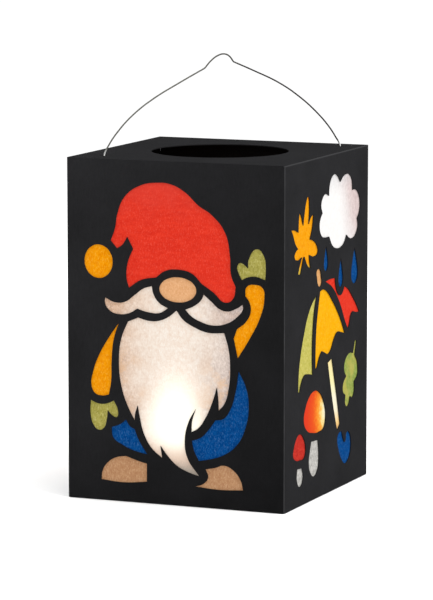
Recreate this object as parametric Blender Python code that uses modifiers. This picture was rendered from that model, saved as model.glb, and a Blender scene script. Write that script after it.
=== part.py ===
"""A square card lantern with a gnome and an autumn scene cut in its walls.

The walls are one folded sheet of black card. Coloured papers close the windows
from inside, trays of card close the top and the bottom, a wire bail hangs in
two pinholes of the top tray, and a battery tea light stands on the floor.
Metres, +Z up, origin at the middle of the underside, gnome wall at -Y.
"""

import math

import bmesh
import bpy
from mathutils import Matrix, Vector
from mathutils.geometry import intersect_line_line_2d

# Body of the lantern
SIDE = 0.136  # outer width of the square sleeve
HEIGHT = 0.200  # floor to top
CARD = 0.0005  # black card
GAP = 0.0003  # clearance between pieces that touch
FLAP = 0.007  # depth of the flaps that glue a tray into the sleeve
FLAP_END = 0.006  # how far a flap stops short of each corner
TAB_CLEAR = 0.0016  # seam tab to the nearest paper inside the left wall
LIGHT_HOLE_RADIUS = 0.0405

PAPER = 0.0002  # coloured papers

# Wire bail
WIRE_RADIUS = 0.00045
PINHOLE_RADIUS = 0.0016
PINHOLE_INSET = 0.021  # from the corner of the box, along the diagonal
PINHOLE_SHIFT = 0.0023  # both pinholes sit this far towards the back right corner
BAIL_RISE = 0.057  # top plate to the middle of the wire at its peak
TAIL_DROP = 0.0042  # how far the wire reaches below the top plate
TAIL_LENGTH = 0.005  # bent outward under the plate

# Battery tea light
CUP_RADIUS = 0.019
CUP_HEIGHT = 0.0167
CUP_WALL = 0.001
CUP_DISH = 0.001  # how far the wax-like top lies below the rim
FLAME_HEIGHT = 0.0283  # above the rim of the cup
FLAME_RADIUS = 0.0063
NECK_RADIUS = 0.0042
LED_RADIUS = 0.0025
CELL_MARGIN = 0.0077  # cell's edge to the base's edge: room for the ring and the switch
CELL_THICKNESS = 0.0032
BASE_THICKNESS = 0.0012
CELL_LEDGE = 0.0017  # height of the ledge that carries the cell
SWITCH_INSET = 0.0033  # edge of the base to the middle of the switch
SWITCH_WIDTH = 0.0024
SWITCH_LENGTH = 0.0040
SWITCH_TRAVEL = 0.003

# The drawings are laid out on a wall of this size, in millimetres, from its
# lower left corner as seen from outside. They stretch to the real wall.
ART_SIDE = 136.0
ART_HEIGHT = 200.0
PAPER_LAP = 1.2  # how far a paper reaches past its window
PAPER_CLEAR = 0.3  # least distance between two papers
C = "VECTOR"  # a corner of the outline
S = "AUTO"  # a smooth point of the outline


def ellipse(x, z, half_width, half_height, count=12):
    """Points round an ellipse, clockwise from its left."""
    turns = [math.tau * i / count for i in range(count)]
    return [(x - half_width * math.cos(t), z + half_height * math.sin(t), S) for t in turns]


def raindrop(x, tip, bottom, half_width):
    """A pointed drop, clockwise from its tip."""
    height = tip - bottom
    swell = [(0.50, 0.72), (0.88, 0.45), (1.00, 0.28), (0.68, 0.07)]
    right = [(x + half_width * out, bottom + height * up, S) for out, up in swell]
    left = [(2 * x - px, pz, kind) for px, pz, kind in reversed(right)]
    return [(x, tip, C), *right, (x, bottom, S), *left]


GNOME = {
    "hat": [
        (27.6, 152.7, C), (31.6, 148.3, C), (35, 150.5, S), (38.1, 155.2, C),
        (41.7, 148.5, C), (38.2, 140, S), (37.5, 131.5, S), (39, 125.6, C),
        (47, 130.7, S), (56.2, 132.5, C), (62, 136.6, S), (70, 137.7, S),
        (78.5, 135.8, S), (84.6, 130.2, C), (92, 125.5, S), (99.3, 120.1, S),
        (104.2, 122.6, S), (105.8, 129.5, C), (103, 136, S), (102.3, 147, S),
        (99.2, 160.5, S), (91, 170.2, S), (82.5, 175.5, S), (75, 182.2, S),
        (66, 186.7, S), (57, 187.4, S), (46, 185.2, S), (36.5, 178.5, S),
        (32, 169, S), (30.2, 159.5, S),
    ],
    "pompom": ellipse(19.9, 140.2, 9.0, 9.8),
    "nose": ellipse(69.8, 126.0, 11.6, 7.3),
    "moustache_left": [
        (24, 119.3, C), (30, 116.8, S), (36.5, 117.3, S), (42.5, 121.5, S),
        (48.5, 125.8, S), (53.6, 127.3, C), (54.5, 123, S), (58, 118, S),
        (63.6, 115, C), (58.5, 112, S), (51, 112, S), (44.2, 113.7, C),
        (39.5, 111, S), (33, 109.9, S), (27.2, 111.5, S), (23.8, 116, S),
    ],
    "moustache_right": [
        (85.9, 124.2, C), (90.5, 120.5, S), (95.5, 116.4, S), (100.5, 115.1, S),
        (106, 116.9, S), (110.1, 119.6, C), (110.3, 117, S), (107, 112.5, S),
        (100.5, 108.2, S), (92, 106.5, S), (84, 108.2, S), (78, 111.2, S),
        (74.4, 114.7, C), (80, 117.2, S), (84.2, 120.7, S),
    ],
    "beard": [
        (38.2, 105.7, C), (45, 108.6, C), (51, 107.1, S), (58, 107.4, S),
        (64, 110, S), (69, 114, C), (73, 109, S), (80, 104.9, S),
        (88.5, 102.2, S), (98.7, 102.5, C), (101.5, 93, S), (102.4, 82, S),
        (101.5, 70.5, S), (98.7, 61.2, S), (95.2, 57.2, C), (94.9, 64, S),
        (94.1, 70.7, C), (91.2, 61.5, S), (86.5, 51.5, S), (82.5, 46.2, S),
        (78.2, 43.6, C), (78.6, 50, S), (80.9, 57.2, C), (76.5, 49.5, S),
        (74.1, 38.5, S), (75.8, 28.2, S), (83.2, 18, C), (76, 20, S),
        (69, 23.3, S), (62.5, 29.5, S), (58.8, 34.3, C), (59.8, 27.1, C),
        (53, 32.7, S), (48.3, 40.5, S), (45.5, 51, S), (44.4, 57, C),
        (42.8, 52, S), (42.5, 48, C), (37.5, 57.5, S), (34, 68, S),
        (32.5, 81, S), (34, 95.5, S),
    ],
    "sleeve_left": [
        (32.7, 105, C), (26.5, 96.3, S), (20, 85.5, S), (16, 75, S),
        (15, 67, S), (17.3, 62.6, S), (21.5, 61.5, S), (26.2, 62.3, C),
        (27.7, 70.5, S), (28, 82, S), (29.5, 95.5, S),
    ],
    "mitten_left": [
        (14.5, 58.5, C), (20.5, 56.6, S), (25.5, 57.2, S), (29.3, 59, C),
        (31.9, 53.5, S), (31.2, 49.4, S), (28.5, 50, S), (25.4, 52.8, C),
        (24.9, 48, S), (22.8, 42.4, S), (19.5, 41.1, S), (16.2, 43.8, S),
        (14.3, 50.5, S),
    ],
    "trousers_left": [
        (37, 48.3, C), (39.5, 44.6, S), (42.5, 43, C), (45, 37, S),
        (50.5, 28.6, C), (42, 30.3, S), (34.5, 33.3, S), (28.8, 37.2, S),
        (27.8, 43.2, C), (33.5, 45.5, S),
    ],
    "shoe_left": [
        (21.2, 12, C), (22, 17.5, S), (25.5, 22.5, S), (31, 25.7, S),
        (37, 26.8, C), (45, 24.4, S), (50.2, 23.2, C), (50.2, 12.5, C),
        (35, 11.1, S),
    ],
    "shoe_right": [
        (87, 22.4, C), (93, 23.7, S), (98.8, 25.4, S), (105, 22.5, S),
        (109, 17.3, S), (110.5, 11.7, C), (95, 11, S), (80.8, 11.9, C),
        (86, 14, S), (88.6, 17.8, S),
    ],
    "mitten_right": [
        (109.5, 133.6, C), (107.2, 138.2, S), (106.6, 141.3, S), (108.6, 143.5, S),
        (111, 142.6, S), (113.2, 140.7, C), (113.8, 146, S), (119, 151.9, S),
        (123.2, 148, S), (124.3, 141, S), (124, 134.3, C), (118, 136, S),
        (113, 135.4, S),
    ],
    "sleeve_right": [
        (111.6, 124.7, C), (112.4, 129.8, S), (118, 131.4, S), (122.5, 129.6, S),
        (123.5, 124, S), (121, 113, S), (115, 101, S), (107, 88.2, C),
        (104.5, 99.7, C), (106.5, 105.2, C), (111.8, 109.4, S), (114.9, 115.5, S),
        (114.2, 121, S),
    ],
    "trousers_right": [
        (107.6, 81, C), (112.5, 71, S), (113.9, 60, S), (112, 48.3, S),
        (106.5, 37.7, S), (98, 31.3, S), (90, 28.5, S), (82.8, 27, C),
        (79.6, 33.2, S), (78.4, 38.5, C), (84, 40.7, S), (89, 45.7, S),
        (93.2, 51.5, C), (98, 52.5, S), (102.5, 58.5, S), (105.5, 68, S),
    ],
}

AUTUMN = {
    "cloud": [
        (55, 160, S), (56.5, 164, S), (59.8, 166.8, C), (57.6, 171.5, S),
        (60.2, 176, S), (64.5, 177.6, S), (70.3, 176, C), (71, 181.5, S),
        (74.5, 186.2, S), (79.7, 187.8, S), (84.8, 186, S), (89, 182.3, C),
        (93, 184.8, S), (98.5, 186, S), (104.5, 185, S), (108.8, 181, S),
        (109.5, 175.5, C), (115, 175.2, S), (120.2, 171.5, S), (122.3, 166, S),
        (120.9, 161, S), (117.5, 157.8, C), (118.8, 153.5, S), (115.5, 148.8, S),
        (109, 146.8, S), (103, 148, S), (99.8, 149.8, C), (96.5, 146, S),
        (91, 143.8, S), (83, 143.8, S), (76, 146.2, S), (70.8, 152, C),
        (64, 152.3, S), (58, 154, S),
    ],
    "maple_leaf": [
        (10.3, 162.2, C), (16, 161.6, S), (21.4, 159.8, C), (21.7, 165.5, S),
        (22.9, 171.5, C), (26, 168.6, S), (29, 163, C), (30.7, 169, S),
        (33.3, 175.8, S), (36.8, 179, S), (38.9, 173, S), (37.8, 163, C),
        (41, 166.5, S), (45.5, 168, C), (43.8, 160.5, S), (40, 153.8, C),
        (46, 152.2, S), (51.3, 148.6, S), (52.6, 145.2, S), (46, 143.3, S),
        (38.8, 144.9, C), (39.4, 141, S), (41, 136.8, C), (36, 139, S),
        (31, 144.8, C), (29.6, 144.2, C), (25, 135.2, C), (20.9, 135.8, C),
        (23.3, 140, S), (27.2, 144.9, C), (20.5, 143.9, S), (15.3, 146.4, S),
        (17.5, 149.2, S), (20.8, 150.3, C), (16.3, 154, S), (13, 159, S),
    ],
    "raindrop_left": raindrop(65.7, 147.5, 132.2, 3.5),
    "raindrop_middle": raindrop(90.1, 137.5, 119.9, 3.9),
    "raindrop_right": raindrop(113.2, 141.0, 119.2, 5.8),
    "ferrule": [
        (50.6, 134.0, S), (53.2, 134.9, S), (56.2, 134.2, S), (58.2, 130, S),
        (58.8, 126, S), (55.8, 124.2, S), (52.9, 125.6, S), (51.1, 129.8, S),
    ],
    "canopy_left": [
        (51.3, 120.1, C), (43.5, 116, S), (36.2, 109, S), (30.2, 99, S),
        (25.5, 89, S), (22.3, 77.5, S), (21.6, 66.8, C), (24.2, 66.9, C),
        (26.3, 71, S), (31.5, 75.4, S), (38, 75.4, S), (44.8, 74, C),
        (44.2, 87, S), (45.3, 100.5, S), (47.6, 111.5, S),
    ],
    "canopy_middle": [
        (56.4, 121.5, C), (61, 122, S), (67.5, 120.1, S), (76, 114, S),
        (86, 105.3, S), (93, 97.5, S), (97.4, 91.4, C), (91.5, 92.8, S),
        (85, 93.7, S), (79.5, 90.2, S), (74, 84.4, S), (69.5, 82.8, S),
        (64.5, 84.3, S), (59.8, 85.8, C), (56.2, 83.3, S), (51.7, 77.2, C),
        (49, 76.5, C), (49.2, 89, S), (50.7, 102.5, S), (53.3, 112, S),
    ],
    "canopy_right": [
        (65, 126.2, C), (72.5, 126.7, S), (81, 126.3, C), (82.3, 121.3, S),
        (85.5, 116.7, S), (90, 115, S), (93.8, 116.6, S), (96.2, 119.6, C),
        (102.5, 117.3, S), (111, 111, S), (117, 106, S), (121.5, 101.2, C),
        (115.5, 101.6, S), (110.5, 102.6, S), (107.2, 100.5, S), (105, 95.8, S),
        (102.6, 93.2, C), (97.5, 98.8, S), (91.5, 107.2, S), (83, 116.4, S),
        (75.5, 121.9, S),
    ],
    "shaft": [
        (69.3, 77.6, C), (76.2, 79.4, C), (79.5, 70, S), (85, 54.5, S),
        (90, 38, C), (85.2, 34.6, C), (79, 49, S), (73, 66, S),
    ],
    "handle": [
        (85.7, 30.8, S), (88.8, 33, S), (93, 33, C), (95.6, 28.2, S),
        (98.2, 25.8, S), (101.2, 31.2, S), (106, 30, S), (108.6, 24.5, S),
        (107.6, 18, S), (103, 13.6, S), (98, 12.8, S), (92.2, 16.6, S),
        (87.8, 22.4, S), (85.5, 27.5, S),
    ],
    "oak_leaf": [
        (111.4, 77.4, C), (114.6, 85, C), (117.4, 84, C), (114.7, 75.8, C),
        (119, 70.8, S), (119.6, 63.8, S), (113.8, 59.9, C), (113.8, 53.9, S),
        (110.4, 50.8, S), (107, 52, C), (104.8, 47.9, S), (101.5, 46.6, S),
        (98.3, 49.2, S), (98.8, 54, C), (94.6, 56.8, S), (94.8, 60.9, S),
        (100, 65.2, C), (96.8, 68.7, S), (97.2, 73.6, S), (102, 77.5, S),
        (106.8, 78.3, S),
    ],
    "cap_large": [
        (30.6, 49, S), (33, 55.8, S), (39, 61.6, S), (47, 64.1, S),
        (55.5, 62.2, S), (62.3, 56.3, S), (66.2, 48, S), (64, 40.7, S),
        (56.5, 38.8, S), (46, 39.6, S), (35, 43, S),
    ],
    "cap_small": [
        (13.8, 31, S), (15.5, 36.3, S), (20, 41.2, S), (25, 42.2, S),
        (30.5, 39, S), (34, 32.5, S), (32.5, 27.8, S), (25, 26.9, S),
        (17, 28.3, S),
    ],
    "stem_large": [
        (42.6, 34.9, C), (53.8, 34.3, C), (55.3, 25, S), (54, 17.5, S),
        (48.3, 13.7, S), (41, 17.2, S), (38.8, 23.8, S), (40.8, 30, S),
    ],
    "stem_small": [
        (20.3, 22.3, C), (28, 21.8, C), (30, 16.3, S), (25.3, 11.3, S),
        (20, 15.4, S),
    ],
}

# Three papers close several windows at once. Their outlines follow the
# windows that they close, and bridge the card between them.
WHITE_SHEET = [
    *GNOME["moustache_left"][:9],
    *GNOME["moustache_right"][12:],
    *GNOME["moustache_right"][:9],
    *GNOME["beard"][9:],
    GNOME["beard"][0],
    *GNOME["moustache_left"][13:],
]
RAIN_SHEET = [
    *AUTUMN["raindrop_left"][5:],
    AUTUMN["raindrop_left"][0],
    (70, 140.3, C),
    (90.1, 139.8, C),
    *AUTUMN["raindrop_right"][:8],
    (94.8, 124.5, C),
    *AUTUMN["raindrop_middle"][4:8],
    (82.6, 129.6, C),
    (69.5, 130.6, C),
]
STEM_SHEET = [
    *AUTUMN["stem_small"][:2],
    (34, 23.2, C),
    *AUTUMN["stem_large"][6:],
    *AUTUMN["stem_large"][:5],
    *AUTUMN["stem_small"][3:],
]

# Colour and roughness of each finish
FINISHES = {
    "black_card": ((0.012, 0.012, 0.013), 0.85, 0.0),
    "red_paper": ((0.80, 0.045, 0.025), 0.7, 0.0),
    "orange_paper": ((1.0, 0.38, 0.01), 0.7, 0.0),
    "skin_paper": ((0.80, 0.45, 0.22), 0.7, 0.0),
    "white_paper": ((0.90, 0.86, 0.80), 0.7, 0.0),
    "green_paper": ((0.45, 0.46, 0.09), 0.7, 0.0),
    "blue_paper": ((0.01, 0.09, 0.38), 0.7, 0.0),
    "brown_paper": ((0.58, 0.30, 0.15), 0.7, 0.0),
    "yellow_paper": ((0.98, 0.45, 0.01), 0.7, 0.0),
    "lime_paper": ((0.58, 0.60, 0.15), 0.7, 0.0),
    "cream_paper": ((0.98, 0.80, 0.45), 0.7, 0.0),
    "steel_wire": ((0.33, 0.33, 0.34), 0.35, 1.0),
    "white_plastic": ((0.85, 0.85, 0.83), 0.4, 0.0),
    "flame_plastic": ((1.0, 0.75, 0.35), 0.3, 0.0),
    "clear_plastic": ((0.9, 0.8, 0.55), 0.1, 0.0),
    "cell_steel": ((0.60, 0.60, 0.58), 0.3, 1.0),
    "black_plastic": ((0.02, 0.02, 0.02), 0.5, 0.0),
}

GNOME_PAPERS = {
    "hat": ("red_paper", GNOME["hat"]),
    "pompom": ("orange_paper", GNOME["pompom"]),
    "nose": ("skin_paper", GNOME["nose"]),
    "beard": ("white_paper", WHITE_SHEET),
    "sleeve_left": ("orange_paper", GNOME["sleeve_left"]),
    "sleeve_right": ("orange_paper", GNOME["sleeve_right"]),
    "mitten_left": ("green_paper", GNOME["mitten_left"]),
    "mitten_right": ("green_paper", GNOME["mitten_right"]),
    "trousers_left": ("blue_paper", GNOME["trousers_left"]),
    "trousers_right": ("blue_paper", GNOME["trousers_right"]),
    "shoe_left": ("brown_paper", GNOME["shoe_left"]),
    "shoe_right": ("brown_paper", GNOME["shoe_right"]),
}
AUTUMN_PAPERS = {
    "cloud": ("white_paper", AUTUMN["cloud"]),
    "maple_leaf": ("yellow_paper", AUTUMN["maple_leaf"]),
    "raindrops": ("blue_paper", RAIN_SHEET),
    "ferrule": ("skin_paper", AUTUMN["ferrule"]),
    "canopy_left": ("lime_paper", AUTUMN["canopy_left"]),
    "canopy_middle": ("yellow_paper", AUTUMN["canopy_middle"]),
    "canopy_right": ("red_paper", AUTUMN["canopy_right"]),
    "shaft": ("cream_paper", AUTUMN["shaft"]),
    "handle": ("blue_paper", AUTUMN["handle"]),
    "oak_leaf": ("green_paper", AUTUMN["oak_leaf"]),
    "cap_large": ("red_paper", AUTUMN["cap_large"]),
    "cap_small": ("red_paper", AUTUMN["cap_small"]),
    "stems": ("white_paper", STEM_SHEET),
}
WALLS = {  # turns of a quarter from the front
    "front": (0, GNOME, GNOME_PAPERS),
    "right": (1, AUTUMN, AUTUMN_PAPERS),
    "back": (2, GNOME, GNOME_PAPERS),
    "left": (3, AUTUMN, AUTUMN_PAPERS),
}

# The arch of the bail: share of the half span, share of the rise. It has a
# low hump bent in its middle, where a hook or a stick holds it.
ARCH = [
    (-0.962, 0.108, S), (-0.880, 0.252, S), (-0.757, 0.411, S), (-0.590, 0.565, S),
    (-0.380, 0.714, S), (-0.160, 0.860, C), (-0.102, 0.940, S), (-0.050, 0.985, S),
    (0.002, 1.000, S), (0.043, 0.980, S), (0.083, 0.917, C), (0.255, 0.819, S),
    (0.470, 0.686, S), (0.642, 0.538, S), (0.795, 0.366, S), (0.902, 0.212, S),
    (0.957, 0.108, S),
]


def clear_scene():
    for old in list(bpy.data.objects):
        bpy.data.objects.remove(old)


def new_collection(name):
    made = bpy.data.collections.new(name)
    bpy.context.scene.collection.children.link(made)
    return made


def finish_material(name):
    """The Principled material of this finish, made once."""
    if name in bpy.data.materials:
        return bpy.data.materials[name]
    colour, roughness, metallic = FINISHES[name]
    made = bpy.data.materials.new(name)
    made.use_nodes = True
    shader = made.node_tree.nodes["Principled BSDF"]
    shader.inputs["Base Color"].default_value = (*colour, 1.0)
    shader.inputs["Roughness"].default_value = roughness
    shader.inputs["Metallic"].default_value = metallic
    made.diffuse_color = (*colour, 1.0)
    return made


def add_part(name, data, finish, parent=None):
    """A visible piece of the lantern."""
    obj = bpy.data.objects.new(name, data)
    PARTS.objects.link(obj)
    obj.parent = parent
    data.materials.append(finish_material(finish))
    return obj


def add_helper(name, data, parent=None):
    """A cutter, or a shape that a Boolean joins: not a piece of its own."""
    obj = bpy.data.objects.new(name, data)
    HELPERS.objects.link(obj)
    obj.parent = parent
    obj.hide_render = True
    obj.display_type = "WIRE"
    return obj


def add_empty(name, place=(0, 0, 0), turn=0.0, parent=None):
    empty = bpy.data.objects.new(name, None)
    PARTS.objects.link(empty)
    empty.location = place
    empty.rotation_euler = (0, 0, turn)
    empty.parent = parent
    return empty


def add_boolean(obj, other, operation="DIFFERENCE"):
    modifier = obj.modifiers.new(other.name, "BOOLEAN")
    modifier.operation = operation
    modifier.object = other


def on_wall(points):
    """Drawing points in metres, measured from the middle of the wall's foot."""
    across = SIDE / ART_SIDE
    up = HEIGHT / ART_HEIGHT
    return [((x - ART_SIDE / 2) * across, z * up, kind) for x, z, kind in points]


def flat_curve(name, outlines, thickness, resolution):
    """A 2D curve that fills these closed outlines, as thick as asked."""
    curve = bpy.data.curves.new(name, "CURVE")
    curve.dimensions = "2D"
    curve.fill_mode = "BOTH"
    curve.extrude = thickness / 2
    curve.resolution_u = resolution
    for outline in outlines:
        spline = curve.splines.new("BEZIER")
        spline.bezier_points.add(len(outline) - 1)
        for point, (x, y, kind) in zip(spline.bezier_points, outline):
            point.co = (x, y, 0)
            point.handle_left_type = kind
            point.handle_right_type = kind
        spline.use_cyclic_u = True
    return curve


def mesh_of(obj):
    """The evaluated mesh of a curve object, with its loose caps welded on."""
    bpy.context.view_layer.update()
    graph = bpy.context.evaluated_depsgraph_get()
    mesh = bpy.data.meshes.new_from_object(obj.evaluated_get(graph))
    bm = bmesh.new()
    bm.from_mesh(mesh)
    bmesh.ops.remove_doubles(bm, verts=bm.verts, dist=1e-6)
    bmesh.ops.recalc_face_normals(bm, faces=bm.faces)
    bm.to_mesh(mesh)
    bm.free()
    return mesh


def flat_points(outline):
    return [Vector((x, y)) for x, y, _ in outline]


def lapped(outline, others):
    """The closed outline moved outward by the lap, and clear of the other papers."""
    flat = flat_points(outline)
    count = len(flat)
    area = sum(flat[i - 1].cross(flat[i]) for i in range(count))
    side = 1.0 if area > 0 else -1.0
    moved = []
    for i, here in enumerate(flat):
        before = (here - flat[i - 1]).normalized()
        after = (flat[(i + 1) % count] - here).normalized()
        normals = [Vector((d.y, -d.x)) * side for d in (before, after)]
        middle = (normals[0] + normals[1]).normalized()
        # A sharp tip is cut off at twice the lap.
        reach = PAPER_LAP / max(middle.dot(normals[0]), 0.5)
        point = here + middle * reach
        if distance_to(point, flat) < 0.95 * PAPER_LAP:
            continue
        room = min(distance_to(point, other) for other in others)
        if room < PAPER_LAP:
            # Two papers that share a narrow web both stop short of its middle.
            half_web = (room + PAPER_LAP - PAPER_CLEAR) / 2
            point = here + middle * reach * half_web / PAPER_LAP
        moved.append(point)
    return [(p.x, p.y, C) for p in without_loops(moved)]


def without_loops(outline):
    """The closed outline with the short loops at its crossings cut off."""
    for i in range(len(outline)):
        turned = outline[i:] + outline[:i]
        for step in range(2, 5):
            crossing = intersect_line_line_2d(*turned[:2], *turned[step : step + 2])
            if crossing:
                return without_loops([turned[0], crossing, *turned[step + 1 :]])
    return outline


def distance_to(point, outline):
    """Distance from a point to a closed outline."""
    nearest = math.inf
    for i, end in enumerate(outline):
        start = outline[i - 1]
        along = end - start
        share = (point - start).dot(along) / along.length_squared
        foot = start + along * min(max(share, 0.0), 1.0)
        nearest = min(nearest, (point - foot).length)
    return nearest


def turned_mesh(name, profile, steps=32):
    """A solid turned from (radius, height) points: closed, or open along the axis."""
    mesh = bpy.data.meshes.new(name)
    bm = bmesh.new()
    verts = [bm.verts.new((radius, 0, height)) for radius, height in profile]
    for first, second in zip(verts, verts[1:]):
        bm.edges.new((first, second))
    if profile[0][0] > 0:
        bm.edges.new((verts[-1], verts[0]))
    bmesh.ops.spin(
        bm,
        geom=bm.verts[:] + bm.edges[:],
        cent=(0, 0, 0),
        axis=(0, 0, 1),
        angle=math.tau,
        steps=steps,
        use_merge=True,
    )
    bmesh.ops.remove_doubles(bm, verts=bm.verts, dist=1e-6)
    bmesh.ops.recalc_face_normals(bm, faces=bm.faces)
    bm.to_mesh(mesh)
    bm.free()
    mesh.shade_smooth()
    mesh.set_sharp_from_angle(angle=math.radians(35))
    return mesh


def box_mesh(name, low, high):
    mesh = bpy.data.meshes.new(name)
    bm = bmesh.new()
    middle = (Vector(low) + Vector(high)) / 2
    size = Matrix.Diagonal(Vector(high) - Vector(low)).to_4x4()
    bmesh.ops.create_cube(bm, size=1.0, matrix=Matrix.Translation(middle) @ size)
    bm.to_mesh(mesh)
    bm.free()
    return mesh


def cylinder_mesh(name, radius, bottom, top, segments=48):
    mesh = bpy.data.meshes.new(name)
    bm = bmesh.new()
    bmesh.ops.create_cone(
        bm,
        cap_ends=True,
        segments=segments,
        radius1=radius,
        radius2=radius,
        depth=top - bottom,
        matrix=Matrix.Translation((0, 0, (top + bottom) / 2)),
    )
    bm.to_mesh(mesh)
    bm.free()
    return mesh


def tab_width():
    """Width of the seam tab, which ends short of the papers inside the left wall."""
    nearest = min(x for points in AUTUMN.values() for x, _, _ in points)
    return (nearest - PAPER_LAP) * SIDE / ART_SIDE - TAB_CLEAR


def make_sleeve():
    """Four walls folded from one sheet, with a seam tab glued inside the left wall."""
    half = SIDE / 2
    seam = -half + CARD + GAP
    folds = [(-half, half), (-half, -half), (half, -half), (half, half), (seam, half)]
    folds.append((seam, half - tab_width()))
    mesh = bpy.data.meshes.new("card_sleeve")
    bm = bmesh.new()
    verts = [bm.verts.new((x, y, 0)) for x, y in folds]
    edges = [bm.edges.new(pair) for pair in zip(verts, verts[1:])]
    raised = bmesh.ops.extrude_edge_only(bm, edges=edges)["geom"]
    top = [item for item in raised if isinstance(item, bmesh.types.BMVert)]
    bmesh.ops.translate(bm, verts=top, vec=(0, 0, HEIGHT))
    bm.normal_update()
    front = min(bm.faces, key=lambda face: face.calc_center_median().y)
    if front.normal.y > 0:
        bmesh.ops.reverse_faces(bm, faces=bm.faces)
    bm.to_mesh(mesh)
    bm.free()
    sleeve = add_part("card_sleeve", mesh, "black_card")
    shell = sleeve.modifiers.new("card", "SOLIDIFY")
    shell.thickness = CARD
    shell.offset = -1.0
    shell.use_even_offset = True
    return sleeve


def trim_seam_tab(sleeve):
    """Cuts the tab's ends on a slant, clear of the trays' flaps."""
    back = SIDE / 2 - CARD - GAP / 2
    front = SIDE / 2 - tab_width() - 2 * GAP
    near = FLAP + 4 * GAP
    outline = [
        (back, -GAP, C),
        (back, near, C),
        (front, near + tab_width(), C),
        (front, -GAP, C),
    ]
    low = -SIDE / 2 + CARD + GAP / 2
    for name, mirrored in (("tab_trim_lower", 1), ("tab_trim_upper", -1)):
        curve = flat_curve(name, [outline], 4 * CARD, 1)
        shape = bpy.data.objects.new(name + "_outline", curve)
        HELPERS.objects.link(shape)
        trim = add_helper(name, mesh_of(shape))
        bpy.data.objects.remove(shape)
        # The outline's x runs along +Y, its y along Z, and its thickness inward from the gap.
        base = 0 if mirrored > 0 else HEIGHT
        columns = ((0, 0, 1), (1, 0, 0), (0, mirrored, 0))
        turn = Matrix(columns).to_4x4()
        trim.data.transform(Matrix.Translation((low + 2 * CARD, 0, base)) @ turn)
        if mirrored < 0:
            trim.data.flip_normals()
        add_boolean(sleeve, trim)


def make_walls(sleeve):
    """Cuts the windows and hangs a paper behind each of them."""
    inner_face = -SIDE / 2 + CARD + GAP + PAPER / 2
    cutter_meshes = {}
    for wall, (quarters, windows, papers) in WALLS.items():
        frame = add_empty("wall_" + wall, turn=quarters * math.pi / 2)
        if id(windows) not in cutter_meshes:
            outlines = [on_wall(points) for points in windows.values()]
            shape = bpy.data.objects.new("windows", flat_curve("windows", outlines, 6 * CARD, 2))
            HELPERS.objects.link(shape)
            cutter_meshes[id(windows)] = mesh_of(shape)
            bpy.data.objects.remove(shape)
        cutter = add_helper("windows_" + wall, cutter_meshes[id(windows)], frame)
        cutter.location = (0, -SIDE / 2, 0)
        cutter.rotation_euler = (math.pi / 2, 0, 0)
        add_boolean(sleeve, cutter)
        for part, (finish, points) in papers.items():
            name = f"{wall}_{part}_paper"
            others = [flat_points(p) for other, (_, p) in papers.items() if other != part]
            outline = on_wall(lapped(points, others))
            paper = add_part(name, flat_curve(name, [outline], PAPER, 1), finish, frame)
            paper.location = (0, inner_face, 0)
            paper.rotation_euler = (math.pi / 2, 0, 0)


def add_tray(name, plate_bottom, flap_bottom):
    """A square plate with a flap folded up or down along each side."""
    half = SIDE / 2 - CARD - GAP
    reach = half - FLAP_END
    plate = box_mesh(name, (-half, -half, plate_bottom), (half, half, plate_bottom + CARD))
    tray = add_part(name, plate, "black_card")
    flap_low = (-reach, -half, flap_bottom)
    flap_high = (reach, -half + CARD, flap_bottom + FLAP)
    for quarter in range(4):
        flap_name = f"{name}_flap_{quarter + 1}"
        flap = add_helper(flap_name, box_mesh(flap_name, flap_low, flap_high))
        flap.rotation_euler = (0, 0, quarter * math.pi / 2)
        add_boolean(tray, flap, "UNION")
    return tray


def pinholes():
    """Middles of the two pinholes, front left and back right."""
    reach = SIDE / 2 - PINHOLE_INSET / math.sqrt(2)
    shift = PINHOLE_SHIFT / math.sqrt(2)
    return [Vector((side * reach + shift, side * reach + shift, 0)) for side in (-1, 1)]


def make_trays():
    add_tray("bottom_tray", 0, 0)
    top = add_tray("top_tray", HEIGHT - CARD, HEIGHT - FLAP)
    low, high = HEIGHT - 3 * CARD, HEIGHT + 2 * CARD
    light_hole = cylinder_mesh("light_hole", LIGHT_HOLE_RADIUS, low, high, 96)
    add_boolean(top, add_helper("light_hole", light_hole))
    for number, place in enumerate(pinholes(), 1):
        hole = cylinder_mesh(f"pinhole_{number}", PINHOLE_RADIUS, low, high, 24)
        cutter = add_helper(f"pinhole_{number}", hole)
        cutter.location = place
        add_boolean(top, cutter)


def make_bail():
    """Wire along the diagonal. The empty stands on the axis that it swings about."""
    axis_height = HEIGHT - CARD / 2
    axis = add_empty("bail_axis", (0, 0, axis_height), math.pi / 4)
    front_left, back_right = pinholes()
    span = (back_right - front_left).length / 2
    below = CARD / 2 + TAIL_DROP
    bend = 2.5 * WIRE_RADIUS
    rise = BAIL_RISE + CARD / 2
    left_tail = [
        (-span - TAIL_LENGTH, -below, C),
        (-span - bend, -below, S),
        (-span - 0.3 * bend, -below + 0.3 * bend, S),
        (-span, -below + bend, S),
        (-span, CARD, S),
    ]
    right_tail = [(-s, h, kind) for s, h, kind in reversed(left_tail)]
    arch = [(share * span, level * rise, kind) for share, level, kind in ARCH]
    curve = bpy.data.curves.new("bail", "CURVE")
    curve.dimensions = "3D"
    curve.bevel_depth = WIRE_RADIUS
    curve.bevel_resolution = 2
    curve.use_fill_caps = True
    curve.resolution_u = 2
    spline = curve.splines.new("BEZIER")
    route = [*left_tail, *arch, *right_tail]
    spline.bezier_points.add(len(route) - 1)
    for point, (s, h, kind) in zip(spline.bezier_points, route):
        point.co = (s + PINHOLE_SHIFT, 0, h)
        point.handle_left_type = kind
        point.handle_right_type = kind
    add_part("bail", curve, "steel_wire", axis)


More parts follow.
